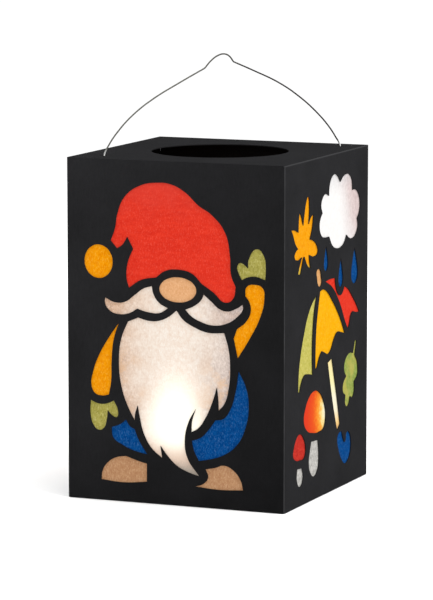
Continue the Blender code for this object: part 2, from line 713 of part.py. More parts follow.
def make_light():
    """The tea light, standing on the floor under an empty that it lifts with."""
    floor = CARD + GAP
    light = add_empty("light_frame", (0, 0, floor))
    plate_top = CUP_HEIGHT - CUP_DISH
    plate_bottom = plate_top - CUP_WALL
    inside = CUP_RADIUS - CUP_WALL
    neck_hole = NECK_RADIUS + GAP
    cup = [
        (neck_hole, plate_top),
        (inside - 2 * CUP_WALL, plate_top),
        (inside - CUP_WALL, CUP_HEIGHT - 0.3 * CUP_DISH),
        (inside, CUP_HEIGHT),
        (CUP_RADIUS - 0.3 * CUP_WALL, CUP_HEIGHT),
        (CUP_RADIUS, CUP_HEIGHT - 0.5 * CUP_WALL),
        (CUP_RADIUS, 0),
        (inside, 0),
        (inside, plate_bottom),
        (neck_hole, plate_bottom),
    ]
    add_part("light_cup", turned_mesh("light_cup", cup, 48), "white_plastic", light)

    collar_top = plate_bottom - GAP
    collar_bottom = collar_top - 1.5 * CUP_WALL
    bore = LED_RADIUS + GAP
    bore_top = CUP_HEIGHT + 0.25 * FLAME_HEIGHT
    flame = [(0, CUP_HEIGHT + FLAME_HEIGHT)]
    for level, share in ((0.97, 0.10), (0.88, 0.27), (0.72, 0.52), (0.55, 0.78), (0.40, 0.95)):
        flame.append((share * FLAME_RADIUS, CUP_HEIGHT + level * FLAME_HEIGHT))
    flame += [
        (FLAME_RADIUS, CUP_HEIGHT + 0.27 * FLAME_HEIGHT),
        (0.93 * FLAME_RADIUS, CUP_HEIGHT + 0.13 * FLAME_HEIGHT),
        (NECK_RADIUS, CUP_HEIGHT),
        (NECK_RADIUS, collar_top),
        (1.5 * NECK_RADIUS, collar_top),
        (1.5 * NECK_RADIUS, collar_bottom),
        (bore, collar_bottom),
        (bore, bore_top),
        (0, bore_top + bore),
    ]
    add_part("light_flame", turned_mesh("light_flame", flame, 24), "flame_plastic", light)

    ledge_top = BASE_THICKNESS + CELL_LEDGE
    base_radius = inside - GAP
    cell_radius = base_radius - CELL_MARGIN
    switch_place = base_radius - SWITCH_INSET
    ring_inner = cell_radius + GAP
    ring_outer = ring_inner + CUP_WALL
    base = [
        (0, BASE_THICKNESS),
        (cell_radius - CUP_WALL, BASE_THICKNESS),
        (cell_radius - CUP_WALL, ledge_top),
        (ring_inner, ledge_top),
        (ring_inner, ledge_top + CELL_THICKNESS),
        (ring_outer, ledge_top + CELL_THICKNESS),
        (ring_outer, BASE_THICKNESS),
        (base_radius, BASE_THICKNESS),
        (base_radius, 0),
        (0, 0),
    ]
    base_part = add_part("light_base", turned_mesh("light_base", base, 48), "white_plastic", light)
    slot_half = (SWITCH_WIDTH / 2 + GAP, (SWITCH_LENGTH + SWITCH_TRAVEL) / 2 + GAP)
    slot = box_mesh(
        "switch_slot",
        (switch_place - slot_half[0], -slot_half[1], -CARD),
        (switch_place + slot_half[0], slot_half[1], BASE_THICKNESS + CARD),
    )
    add_boolean(base_part, add_helper("switch_slot", slot, light))

    cell_bottom = ledge_top + GAP
    cell_top = cell_bottom + CELL_THICKNESS
    step = 0.25 * CELL_THICKNESS
    cell = [
        (0, cell_top),
        (cell_radius, cell_top),
        (cell_radius, cell_bottom + step),
        (cell_radius - step, cell_bottom),
        (0, cell_bottom),
    ]
    add_part("coin_cell", turned_mesh("coin_cell", cell), "cell_steel", light)

    leg_bottom = cell_top + GAP
    flange_bottom = leg_bottom + 1.2 * CUP_WALL
    flange_top = flange_bottom + CUP_WALL
    dome_start = collar_bottom + LED_RADIUS
    led = [(0, dome_start + LED_RADIUS)]
    for degrees in (60, 30, 0):
        angle = math.radians(degrees)
        led.append((LED_RADIUS * math.cos(angle), dome_start + LED_RADIUS * math.sin(angle)))
    led += [
        (LED_RADIUS, flange_top),
        (1.16 * LED_RADIUS, flange_top),
        (1.16 * LED_RADIUS, flange_bottom),
        (0, flange_bottom),
    ]
    led_part = add_part("led", turned_mesh("led", led, 24), "clear_plastic", light)
    leg_half = 0.25 * CUP_WALL
    for name, x in (("led_leg_1", -0.5 * LED_RADIUS), ("led_leg_2", 0.5 * LED_RADIUS)):
        low = (x - leg_half, -leg_half, leg_bottom)
        high = (x + leg_half, leg_half, flange_bottom + 0.3 * CUP_WALL)
        add_boolean(led_part, add_helper(name, box_mesh(name, low, high), light), "UNION")

    make_switch(light, switch_place)


def make_switch(light, place):
    """A slider held by its wider head above the slot, at one end of its travel."""
    start = add_empty("switch_frame", (place, -SWITCH_TRAVEL / 2, 0), parent=light)
    half_width = SWITCH_WIDTH / 2
    half_length = SWITCH_LENGTH / 2
    knob_low = (-half_width, -half_length, GAP)
    knob_high = (half_width, half_length, BASE_THICKNESS + 2 * GAP)
    knob = box_mesh("switch_slider", knob_low, knob_high)
    slider = add_part("switch_slider", knob, "black_plastic", start)
    head_low = (-half_width - 2 * GAP, -half_length, BASE_THICKNESS + GAP)
    head_high = (half_width + 2 * GAP, half_length, BASE_THICKNESS + 4 * GAP)
    head = add_helper("switch_head", box_mesh("switch_head", head_low, head_high), start)
    add_boolean(slider, head, "UNION")


clear_scene()
PARTS = new_collection("card_lantern")
HELPERS = new_collection("helpers")
card_sleeve = make_sleeve()
trim_seam_tab(card_sleeve)
make_walls(card_sleeve)
make_trays()
make_bail()
make_light()
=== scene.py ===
"""A black card lantern with a gnome and an autumn scene in coloured paper.

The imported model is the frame. The walls are rebuilt here as one cut and folded
sheet of card, the trays as folded sheets, and the wire, the tea light's cup and
its flame as finer pieces. The papers keep their solids and get a lit-paper look.
Metres, +Z up, origin at the middle of the underside, gnome wall at -Y.
"""

import math

import bmesh
import bpy
from mathutils import Matrix, Vector


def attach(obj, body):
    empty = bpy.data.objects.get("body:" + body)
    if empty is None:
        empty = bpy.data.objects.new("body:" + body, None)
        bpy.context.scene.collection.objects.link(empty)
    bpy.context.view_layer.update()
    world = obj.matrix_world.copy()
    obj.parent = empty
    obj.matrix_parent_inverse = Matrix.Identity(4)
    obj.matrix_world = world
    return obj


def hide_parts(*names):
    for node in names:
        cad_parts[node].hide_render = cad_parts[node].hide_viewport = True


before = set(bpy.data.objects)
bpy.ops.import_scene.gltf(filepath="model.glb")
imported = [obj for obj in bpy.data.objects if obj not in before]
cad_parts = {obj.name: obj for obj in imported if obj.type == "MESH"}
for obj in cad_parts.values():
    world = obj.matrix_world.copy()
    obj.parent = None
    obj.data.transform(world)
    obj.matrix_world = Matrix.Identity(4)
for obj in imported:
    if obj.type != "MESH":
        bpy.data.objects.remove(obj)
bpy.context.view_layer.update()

# Sizes of the real piece, as in the CAD
SIDE = 0.136
HEIGHT = 0.200
CARD = 0.0005
GAP = 0.0003
FLAP = 0.007
FLAP_END = 0.006
TAB = 0.0075
LIGHT_HOLE_RADIUS = 0.0405
WIRE_RADIUS = 0.00045
PINHOLE_RADIUS = 0.0016
PINHOLE_INSET = 0.021
PINHOLE_SHIFT = 0.0023
BAIL_RISE = 0.057
TAIL_DROP = 0.0042
TAIL_LENGTH = 0.005
CUP_RADIUS = 0.019
CUP_HEIGHT = 0.0167
CUP_WALL = 0.001
CUP_DISH = 0.001
FLAME_HEIGHT = 0.0283
FLAME_RADIUS = 0.0063
NECK_RADIUS = 0.0042
LED_RADIUS = 0.0025
FOLD_RADIUS = 0.0007  # outer radius of a scored and folded edge
SEAM_GAP = 0.000004  # the tab is glued to the left wall
MM = 0.001
WELD = 1e-7  # points closer than this are one point
LAMP_LEVEL = 0.050  # where the lamp lights the autumn walls most
BEARD_LEVEL = 0.048  # where it lights the beard most

# The sleeve as a flat sheet: its folds, from the back left edge, and the tab's slanted ends
SEAM_FOLD = 4 * SIDE - CARD - SEAM_GAP
CORNERS = [SIDE, 2 * SIDE, 3 * SIDE, SEAM_FOLD]
TAB_START = FLAP + 4 * GAP

C = "VECTOR"  # a corner of the outline
S = "AUTO"  # a smooth point of the outline


def ellipse(x, z, half_width, half_height, count=12):
    """Points round an ellipse, clockwise from its left."""
    turns = [math.tau * i / count for i in range(count)]
    return [(x - half_width * math.cos(t), z + half_height * math.sin(t), S) for t in turns]


def raindrop(x, tip, bottom, half_width):
    """A pointed drop, clockwise from its tip."""
    height = tip - bottom
    swell = [(0.50, 0.72), (0.88, 0.45), (1.00, 0.28), (0.68, 0.07)]
    right = [(x + half_width * out, bottom + height * up, S) for out, up in swell]
    left = [(2 * x - px, pz, kind) for px, pz, kind in reversed(right)]
    return [(x, tip, C), *right, (x, bottom, S), *left]


GNOME = {
    "hat": [
        (27.6, 152.7, C), (31.6, 148.3, C), (35, 150.5, S), (38.1, 155.2, C),
        (41.7, 148.5, C), (38.2, 140, S), (37.5, 131.5, S), (39, 125.6, C),
        (47, 130.7, S), (56.2, 132.5, C), (62, 136.6, S), (70, 137.7, S),
        (78.5, 135.8, S), (84.6, 130.2, C), (92, 125.5, S), (99.3, 120.1, S),
        (104.2, 122.6, S), (105.8, 129.5, C), (103, 136, S), (102.3, 147, S),
        (99.2, 160.5, S), (91, 170.2, S), (82.5, 175.5, S), (75, 182.2, S),
        (66, 186.7, S), (57, 187.4, S), (46, 185.2, S), (36.5, 178.5, S),
        (32, 169, S), (30.2, 159.5, S),
    ],
    "pompom": ellipse(19.9, 140.2, 9.0, 9.8),
    "nose": ellipse(69.8, 126.0, 11.6, 7.3),
    "moustache_left": [
        (24, 119.3, C), (30, 116.8, S), (36.5, 117.3, S), (42.5, 121.5, S),
        (48.5, 125.8, S), (53.6, 127.3, C), (54.5, 123, S), (58, 118, S),
        (63.6, 115, C), (58.5, 112, S), (51, 112, S), (44.2, 113.7, C),
        (39.5, 111, S), (33, 109.9, S), (27.2, 111.5, S), (23.8, 116, S),
    ],
    "moustache_right": [
        (85.9, 124.2, C), (90.5, 120.5, S), (95.5, 116.4, S), (100.5, 115.1, S),
        (106, 116.9, S), (110.1, 119.6, C), (110.3, 117, S), (107, 112.5, S),
        (100.5, 108.2, S), (92, 106.5, S), (84, 108.2, S), (78, 111.2, S),
        (74.4, 114.7, C), (80, 117.2, S), (84.2, 120.7, S),
    ],
    "beard": [
        (38.2, 105.7, C), (45, 108.6, C), (51, 107.1, S), (58, 107.4, S),
        (64, 110, S), (69, 114, C), (73, 109, S), (80, 104.9, S),
        (88.5, 102.2, S), (98.7, 102.5, C), (101.5, 93, S), (102.4, 82, S),
        (101.5, 70.5, S), (98.7, 61.2, S), (95.2, 57.2, C), (94.9, 64, S),
        (94.1, 70.7, C), (91.2, 61.5, S), (86.5, 51.5, S), (82.5, 46.2, S),
        (78.2, 43.6, C), (78.6, 50, S), (80.9, 57.2, C), (76.5, 49.5, S),
        (74.1, 38.5, S), (75.8, 28.2, S), (83.2, 18, C), (76, 20, S),
        (69, 23.3, S), (62.5, 29.5, S), (58.8, 34.3, C), (59.8, 27.1, C),
        (53, 32.7, S), (48.3, 40.5, S), (45.5, 51, S), (44.4, 57, C),
        (42.8, 52, S), (42.5, 48, C), (37.5, 57.5, S), (34, 68, S),
        (32.5, 81, S), (34, 95.5, S),
    ],
    "sleeve_left": [
        (32.7, 105, C), (26.5, 96.3, S), (20, 85.5, S), (16, 75, S),
        (15, 67, S), (17.3, 62.6, S), (21.5, 61.5, S), (26.2, 62.3, C),
        (27.7, 70.5, S), (28, 82, S), (29.5, 95.5, S),
    ],
    "mitten_left": [
        (14.5, 58.5, C), (20.5, 56.6, S), (25.5, 57.2, S), (29.3, 59, C),
        (31.9, 53.5, S), (31.2, 49.4, S), (28.5, 50, S), (25.4, 52.8, C),
        (24.9, 48, S), (22.8, 42.4, S), (19.5, 41.1, S), (16.2, 43.8, S),
        (14.3, 50.5, S),
    ],
    "trousers_left": [
        (37, 48.3, C), (39.5, 44.6, S), (42.5, 43, C), (45, 37, S),
        (50.5, 28.6, C), (42, 30.3, S), (34.5, 33.3, S), (28.8, 37.2, S),
        (27.8, 43.2, C), (33.5, 45.5, S),
    ],
    "shoe_left": [
        (21.2, 12, C), (22, 17.5, S), (25.5, 22.5, S), (31, 25.7, S),
        (37, 26.8, C), (45, 24.4, S), (50.2, 23.2, C), (50.2, 12.5, C),
        (35, 11.1, S),
    ],
    "shoe_right": [
        (87, 22.4, C), (93, 23.7, S), (98.8, 25.4, S), (105, 22.5, S),
        (109, 17.3, S), (110.5, 11.7, C), (95, 11, S), (80.8, 11.9, C),
        (86, 14, S), (88.6, 17.8, S),
    ],
    "mitten_right": [
        (109.5, 133.6, C), (107.2, 138.2, S), (106.6, 141.3, S), (108.6, 143.5, S),
        (111, 142.6, S), (113.2, 140.7, C), (113.8, 146, S), (119, 151.9, S),
        (123.2, 148, S), (124.3, 141, S), (124, 134.3, C), (118, 136, S),
        (113, 135.4, S),
    ],
    "sleeve_right": [
        (111.6, 124.7, C), (112.4, 129.8, S), (118, 131.4, S), (122.5, 129.6, S),
        (123.5, 124, S), (121, 113, S), (115, 101, S), (107, 88.2, C),
        (104.5, 99.7, C), (106.5, 105.2, C), (111.8, 109.4, S), (114.9, 115.5, S),
        (114.2, 121, S),
    ],
    "trousers_right": [
        (107.6, 81, C), (112.5, 71, S), (113.9, 60, S), (112, 48.3, S),
        (106.5, 37.7, S), (98, 31.3, S), (90, 28.5, S), (82.8, 27, C),
        (79.6, 33.2, S), (78.4, 38.5, C), (84, 40.7, S), (89, 45.7, S),
        (93.2, 51.5, C), (98, 52.5, S), (102.5, 58.5, S), (105.5, 68, S),
    ],
}

AUTUMN = {
    "cloud": [
        (55, 160, S), (56.5, 164, S), (59.8, 166.8, C), (57.6, 171.5, S),
        (60.2, 176, S), (64.5, 177.6, S), (70.3, 176, C), (71, 181.5, S),
        (74.5, 186.2, S), (79.7, 187.8, S), (84.8, 186, S), (89, 182.3, C),
        (93, 184.8, S), (98.5, 186, S), (104.5, 185, S), (108.8, 181, S),
        (109.5, 175.5, C), (115, 175.2, S), (120.2, 171.5, S), (122.3, 166, S),
        (120.9, 161, S), (117.5, 157.8, C), (118.8, 153.5, S), (115.5, 148.8, S),
        (109, 146.8, S), (103, 148, S), (99.8, 149.8, C), (96.5, 146, S),
        (91, 143.8, S), (83, 143.8, S), (76, 146.2, S), (70.8, 152, C),
        (64, 152.3, S), (58, 154, S),
    ],
    "maple_leaf": [
        (10.3, 162.2, C), (16, 161.6, S), (21.4, 159.8, C), (21.7, 165.5, S),
        (22.9, 171.5, C), (26, 168.6, S), (29, 163, C), (30.7, 169, S),
        (33.3, 175.8, S), (36.8, 179, S), (38.9, 173, S), (37.8, 163, C),
        (41, 166.5, S), (45.5, 168, C), (43.8, 160.5, S), (40, 153.8, C),
        (46, 152.2, S), (51.3, 148.6, S), (52.6, 145.2, S), (46, 143.3, S),
        (38.8, 144.9, C), (39.4, 141, S), (41, 136.8, C), (36, 139, S),
        (31, 144.8, C), (29.6, 144.2, C), (25, 135.2, C), (20.9, 135.8, C),
        (23.3, 140, S), (27.2, 144.9, C), (20.5, 143.9, S), (15.3, 146.4, S),
        (17.5, 149.2, S), (20.8, 150.3, C), (16.3, 154, S), (13, 159, S),
    ],
    "raindrop_left": raindrop(65.7, 147.5, 132.2, 3.5),
    "raindrop_middle": raindrop(90.1, 137.5, 119.9, 3.9),
    "raindrop_right": raindrop(113.2, 141.0, 119.2, 5.8),
    "ferrule": [
        (50.6, 134.0, S), (53.2, 134.9, S), (56.2, 134.2, S), (58.2, 130, S),
        (58.8, 126, S), (55.8, 124.2, S), (52.9, 125.6, S), (51.1, 129.8, S),
    ],
    "canopy_left": [
        (51.3, 120.1, C), (43.5, 116, S), (36.2, 109, S), (30.2, 99, S),
        (25.5, 89, S), (22.3, 77.5, S), (21.6, 66.8, C), (24.2, 66.9, C),
        (26.3, 71, S), (31.5, 75.4, S), (38, 75.4, S), (44.8, 74, C),
        (44.2, 87, S), (45.3, 100.5, S), (47.6, 111.5, S),
    ],
    "canopy_middle": [
        (56.4, 121.5, C), (61, 122, S), (67.5, 120.1, S), (76, 114, S),
        (86, 105.3, S), (93, 97.5, S), (97.4, 91.4, C), (91.5, 92.8, S),
        (85, 93.7, S), (79.5, 90.2, S), (74, 84.4, S), (69.5, 82.8, S),
        (64.5, 84.3, S), (59.8, 85.8, C), (56.2, 83.3, S), (51.7, 77.2, C),
        (49, 76.5, C), (49.2, 89, S), (50.7, 102.5, S), (53.3, 112, S),
    ],
    "canopy_right": [
        (65, 126.2, C), (72.5, 126.7, S), (81, 126.3, C), (82.3, 121.3, S),
        (85.5, 116.7, S), (90, 115, S), (93.8, 116.6, S), (96.2, 119.6, C),
        (102.5, 117.3, S), (111, 111, S), (117, 106, S), (121.5, 101.2, C),
        (115.5, 101.6, S), (110.5, 102.6, S), (107.2, 100.5, S), (105, 95.8, S),
        (102.6, 93.2, C), (97.5, 98.8, S), (91.5, 107.2, S), (83, 116.4, S),
        (75.5, 121.9, S),
    ],
    "shaft": [
        (69.3, 77.6, C), (76.2, 79.4, C), (79.5, 70, S), (85, 54.5, S),
        (90, 38, C), (85.2, 34.6, C), (79, 49, S), (73, 66, S),
    ],
    "handle": [
        (85.7, 30.8, S), (88.8, 33, S), (93, 33, C), (95.6, 28.2, S),
        (98.2, 25.8, S), (101.2, 31.2, S), (106, 30, S), (108.6, 24.5, S),
        (107.6, 18, S), (103, 13.6, S), (98, 12.8, S), (92.2, 16.6, S),
        (87.8, 22.4, S), (85.5, 27.5, S),
    ],
    "oak_leaf": [
        (111.4, 77.4, C), (114.6, 85, C), (117.4, 84, C), (114.7, 75.8, C),
        (119, 70.8, S), (119.6, 63.8, S), (113.8, 59.9, C), (113.8, 53.9, S),
        (110.4, 50.8, S), (107, 52, C), (104.8, 47.9, S), (101.5, 46.6, S),
        (98.3, 49.2, S), (98.8, 54, C), (94.6, 56.8, S), (94.8, 60.9, S),
        (100, 65.2, C), (96.8, 68.7, S), (97.2, 73.6, S), (102, 77.5, S),
        (106.8, 78.3, S),
    ],
    "cap_large": [
        (30.6, 49, S), (33, 55.8, S), (39, 61.6, S), (47, 64.1, S),
        (55.5, 62.2, S), (62.3, 56.3, S), (66.2, 48, S), (64, 40.7, S),
        (56.5, 38.8, S), (46, 39.6, S), (35, 43, S),
    ],
    "cap_small": [
        (13.8, 31, S), (15.5, 36.3, S), (20, 41.2, S), (25, 42.2, S),
        (30.5, 39, S), (34, 32.5, S), (32.5, 27.8, S), (25, 26.9, S),
        (17, 28.3, S),
    ],
    "stem_large": [
        (42.6, 34.9, C), (53.8, 34.3, C), (55.3, 25, S), (54, 17.5, S),
        (48.3, 13.7, S), (41, 17.2, S), (38.8, 23.8, S), (40.8, 30, S),
    ],
    "stem_small": [
        (20.3, 22.3, C), (28, 21.8, C), (30, 16.3, S), (25.3, 11.3, S),
        (20, 15.4, S),
    ],
}

# The arch of the bail: share of the half span, share of the rise
ARCH = [
    (-0.962, 0.108, S), (-0.880, 0.252, S), (-0.757, 0.411, S), (-0.590, 0.565, S),
    (-0.380, 0.714, S), (-0.160, 0.860, C), (-0.102, 0.940, S), (-0.050, 0.985, S),
    (0.002, 1.000, S), (0.043, 0.980, S), (0.083, 0.917, C), (0.255, 0.819, S),
    (0.470, 0.686, S), (0.642, 0.538, S), (0.795, 0.366, S), (0.902, 0.212, S),
    (0.957, 0.108, S),
]

# Share of a lit paper's brightness that is the studio's light on it; the rest is the lamp's light,
# painted as emission
REFLECTED = 0.7


# ---------------------------------------------------------------- nodes


class Graph:
    """A material's node tree, with short calls to add to it."""

    def __init__(self, name):
        self.material = bpy.data.materials.new(name)
        self.material.use_nodes = True
        self.tree = self.material.node_tree
        self.shader = self.tree.nodes["Principled BSDF"]
        coordinates = self.tree.nodes.new("ShaderNodeTexCoord")
        self.place = coordinates.outputs["Object"]

    def node(self, kind, **settings):
        made = self.tree.nodes.new(kind)
        for name, value in settings.items():
            setattr(made, name, value)
        return made

    def join(self, source, target):
        """Plugs a socket into another, or sets the other to a plain value."""
        if isinstance(source, bpy.types.NodeSocket):
            self.tree.links.new(source, target)
        else:
            target.default_value = source

    def fill(self, node, **values):
        """Gives a node's inputs, by name, each a socket or a plain value."""
        for name, value in values.items():
            self.join(value, node.inputs[name.replace("_", " ")])

    def set(self, **values):
        self.fill(self.shader, **values)

    def noise(self, scale, detail=2.0, roughness=0.5, place=None, distortion=0.0):
        made = self.node("ShaderNodeTexNoise")
        self.fill(made, Vector=place or self.place, Scale=scale, Detail=detail)
        self.fill(made, Roughness=roughness, Distortion=distortion)
        return made.outputs["Fac"]

    def stretched(self, scale, turn=(0, 0, 0)):
        """The object's coordinates, scaled along each axis after a turn."""
        made = self.node("ShaderNodeMapping")
        self.fill(made, Vector=self.place, Scale=scale, Rotation=turn)
        return made.outputs["Vector"]

    def math(self, operation, first, second=0.0, third=0.0):
        made = self.node("ShaderNodeMath", operation=operation)
        self.join(first, made.inputs[0])
        self.join(second, made.inputs[1])
        self.join(third, made.inputs[2])
        return made.outputs[0]

    def remap(self, value, low, high, to_low=0.0, to_high=1.0, smooth=False):
        made = self.node("ShaderNodeMapRange")
        if smooth:
            made.interpolation_type = "SMOOTHSTEP"
        self.fill(made, Value=value, From_Min=low, From_Max=high, To_Min=to_low, To_Max=to_high)
        return made.outputs["Result"]

    def mix(self, share, first, second):
        made = self.node("ShaderNodeMix", data_type="RGBA")
        self.join(share, made.inputs["Factor"])
        for socket, value in ((made.inputs[6], first), (made.inputs[7], second)):
            self.join(rgba(value), socket)
        return made.outputs[2]

    def scaled(self, colour, amount):
        """A colour times a number."""
        made = self.node("ShaderNodeVectorMath", operation="SCALE")
        self.join(colour, made.inputs[0])
        self.join(amount, made.inputs["Scale"])
        return made.outputs[0]

    def sum(self, first, second):
        made = self.node("ShaderNodeVectorMath", operation="ADD")
        self.join(first, made.inputs[0])
        self.join(second, made.inputs[1])
        return made.outputs[0]

    def distance(self, point):
        made = self.node("ShaderNodeVectorMath", operation="DISTANCE")
        self.join(self.place, made.inputs[0])
        made.inputs[1].default_value = point
        return made.outputs["Value"]

    def axes(self):
        made = self.node("ShaderNodeSeparateXYZ")
        self.join(self.place, made.inputs[0])
        return made.outputs[0], made.outputs[1], made.outputs[2]

    def bump(self, height, distance, strength=1.0):
        made = self.node("ShaderNodeBump")
        self.fill(made, Strength=strength, Distance=distance, Height=height)
        self.set(Normal=made.outputs["Normal"])


def rgba(colour):
    if isinstance(colour, bpy.types.NodeSocket):
        return colour
    return (*colour, 1.0)


# ------------------------------------------------------------ materials


def card_material():
    """Matt black card: fine fibre, faint cloudiness, lighter where it is folded or cut, partly wear
    and partly a painted edge highlight, and a painted sheen on the gnome walls.
    """
    g = Graph("black_card_stock")
    half = SIDE / 2
    x, y, z = g.axes()
    across = g.math("MINIMUM", g.math("ABSOLUTE", x), g.math("ABSOLUTE", y))
    # Lighter folds, and lighter top edges on the autumn walls: partly wear of the card, partly a
    # painted edge highlight
    fold = g.remap(across, half - 0.00065, half - 0.0003, smooth=True)
    patch = g.remap(g.noise(45.0, 3.0, 0.6), 0.35, 0.7)
    fold_wear_and_highlight = g.math("MULTIPLY", fold, g.math("MULTIPLY_ADD", patch, 0.6, 0.4))
    side = g.remap(g.math("ABSOLUTE", x), half - 0.001, half - 0.0006)
    rim = g.math("MULTIPLY", g.remap(z, HEIGHT - 0.00095, HEIGHT - 0.00025, smooth=True), side)
    wear_and_edge_highlight = g.math("MAXIMUM", fold_wear_and_highlight, g.math("MULTIPLY", rim, 0.7))
    cloud = g.noise(28.0, 4.0, 0.55)
    grain = g.noise(2600.0, 3.0, 0.65)
    fibre = g.noise(1.0, 2.0, 0.5, g.stretched((900.0, 900.0, 260.0)))
    tone = g.math("MULTIPLY_ADD", grain, 0.40, g.math("MULTIPLY", cloud, 0.40))
    tone = g.math("MULTIPLY_ADD", fibre, 0.2, tone)
    tone = g.remap(tone, 0.34, 0.66)
    base = g.mix(tone, (0.0063, 0.0063, 0.0066), (0.0114, 0.0113, 0.0121))
    # The gnome walls get a painted sheen: a little paler towards their upper left and darker towards
    # their lower right
    slant = g.math("MULTIPLY_ADD", z, 0.35, g.math("MULTIPLY", gnome_across(g), -0.55))
    painted_sheen = g.remap(slant, -0.035, 0.105, 0.64, 1.46)
    outside = g.remap(g.math("ABSOLUTE", y), half - 0.0012, half - 0.0008)
    share = g.math("MULTIPLY_ADD", g.math("SUBTRACT", painted_sheen, 1.0), outside, 1.0)
    colour = g.mix(wear_and_edge_highlight, g.scaled(base, share), (0.026, 0.026, 0.027))
    g.set(Base_Color=colour, Roughness=g.remap(cloud, 0.3, 0.7, 0.80, 0.90))
    g.set(Specular_IOR_Level=0.002)
    g.bump(g.math("MULTIPLY_ADD", fibre, 0.6, grain), 0.00003, 0.6)
    return g.material


def pulp(g):
    """Patterns of thin paper: soft clouds with short fibres, a fine speckle, and the fibres."""
    cloud = g.noise(420.0, 4.0, 0.70, distortion=0.4)
    fibre = g.noise(1.0, 3.0, 0.6, g.stretched((1500.0, 1500.0, 620.0), (0.5, 0.4, 0)))
    fine = g.noise(1250.0, 3.0, 0.75)
    mottle = g.math("MULTIPLY_ADD", cloud, 0.40, g.math("MULTIPLY", fibre, 0.30))
    mottle = g.math("MULTIPLY_ADD", fine, 0.30, mottle)
    return g.remap(mottle, 0.41, 0.59), fine, fibre


def specked(g, shade, pale, fine, fibre, amount=0.36):
    """Paler short fibres over a shade."""
    both = g.math("MULTIPLY_ADD", fine, 0.45, g.math("MULTIPLY", fibre, 0.55))
    share = g.math("MULTIPLY", g.remap(both, 0.50, 0.64, smooth=True), amount)
    return g.mix(share, shade, pale)


def lit_paper(g, colour, light, fleck, fibre):
    """Splits what the eye sees of a lit paper into a base colour, with the wall's studio light divided
    out, and painted lamplight given as emission.
    """
    g.set(Base_Color=g.scaled(colour, REFLECTED / light))
    g.set(Emission_Color=g.scaled(colour, 1.0 - REFLECTED), Emission_Strength=1.0)
    g.set(Roughness=g.remap(fibre, 0.3, 0.7, 0.70, 0.86), Specular_IOR_Level=0.002)
    g.bump(g.math("MULTIPLY_ADD", fibre, 0.7, fleck), 0.00005, 0.4)
    return g.material


def plain_paper(name, light, colour, dark, pale):
    """Coloured paper: an even lit colour, darker clouds and paler specks of pulp."""
    g = Graph(name)
    mottle, fine, fibre = pulp(g)
    shade = specked(g, g.mix(mottle, dark, colour), pale, fine, fibre)
    return lit_paper(g, shade, light, mottle, fibre)


def hat_paper(name, light, colour, dark, pale):
    """The red of the hat: streaked along its width and a little duller towards its top."""
    g = Graph(name)
    mottle, fine, fibre = pulp(g)
    streak = g.remap(g.noise(1.0, 3.0, 0.6, g.stretched((110.0, 110.0, 620.0))), 0.38, 0.62)
    shade = g.mix(g.math("MULTIPLY_ADD", streak, 0.4, g.math("MULTIPLY", mottle, 0.6)), dark, colour)
    shade = specked(g, shade, pale, fine, fibre, 0.26)
    ragged = g.math("MULTIPLY_ADD", g.noise(90.0, 3.0, 0.6), 0.030, g.axes()[2])
    top = g.remap(ragged, 0.175, 0.204, smooth=True)
    shade = g.mix(g.math("MULTIPLY", top, 0.5), shade, (0.74, 0.062, 0.044))
    return lit_paper(g, shade, light, mottle, fibre)


def ragged_share(g, value, low, high, amount, fine):
    """A smooth share of a value between two limits, roughened by the speckle."""
    rough = g.math("MULTIPLY_ADD", g.math("SUBTRACT", fine, 0.5), amount, value)
    return g.remap(rough, low, high, smooth=True)


def gnome_across(g):
    """Distance to the right of the middle of a gnome wall, seen from outside."""
    x, y, _ = g.axes()
    facing = g.math("SIGN", y)
    return g.math("MULTIPLY", x, g.math("MULTIPLY", facing, -1.0))


def beard_paper(name, light):
    """White paper over the lamp: white, then cream, then peach and lilac at the sides, with painted
    lamplight in its middle and painted shade towards its foot.
    """
    g = Graph(name)
    mottle, fine, fibre = pulp(g)
    across = gnome_across(g)
    z = g.axes()[2]
    cream = g.mix(mottle, (0.90, 0.73, 0.60), (1.00, 0.92, 0.83))
    edge = beard_edge(g, across, z, fine)
    shade = g.mix(edge, cream, beard_sides(g, across, z, mottle))
    dot = g.math("MULTIPLY", g.remap(fine, 0.44, 0.33, smooth=True), edge)
    shade = g.mix(g.math("MULTIPLY", dot, 0.9), shade, (0.33, 0.27, 0.27))
    # Painted shade towards the foot, below the lamp's glow: peach, then grey
    tail = ragged_share(g, z, 0.043, 0.029, 0.012, fine)
    shade = g.mix(g.math("MULTIPLY", tail, 0.8), shade, (0.76, 0.52, 0.38))
    tip = ragged_share(g, z, 0.029, 0.019, 0.010, fine)
    shade = g.mix(g.math("MULTIPLY", tip, 0.9), shade, (0.38, 0.34, 0.29))
    core = core_light(g, across, z)
    shade = g.mix(g.remap(core, 0.02, 0.65, smooth=True), shade, (1.02, 0.94, 0.78))
    glow = g.scaled((1.0, 0.97, 0.90), g.math("MULTIPLY", core, 0.55))
    return lit_paper(g, g.sum(shade, glow), light, mottle, fibre)


def beard_edge(g, across, z, fine):
    """Share of the sides' colour: ragged, and less of it under the moustache."""
    drift = g.math("SUBTRACT", g.noise(55.0, 3.0, 0.6), 0.5)
    middle = g.math("ABSOLUTE", g.math("ADD", across, 0.0015))
    offset = g.math("MULTIPLY_ADD", drift, 0.026, middle)
    edge = ragged_share(g, offset, 0.009, 0.040, 0.040, fine)
    above = g.remap(z, 0.078, 0.094, smooth=True)
    above = g.math("MULTIPLY", above, g.remap(z, 0.110, 0.105, smooth=True))
    return g.math("MULTIPLY", edge, g.math("MULTIPLY_ADD", above, -0.32, 1.0))


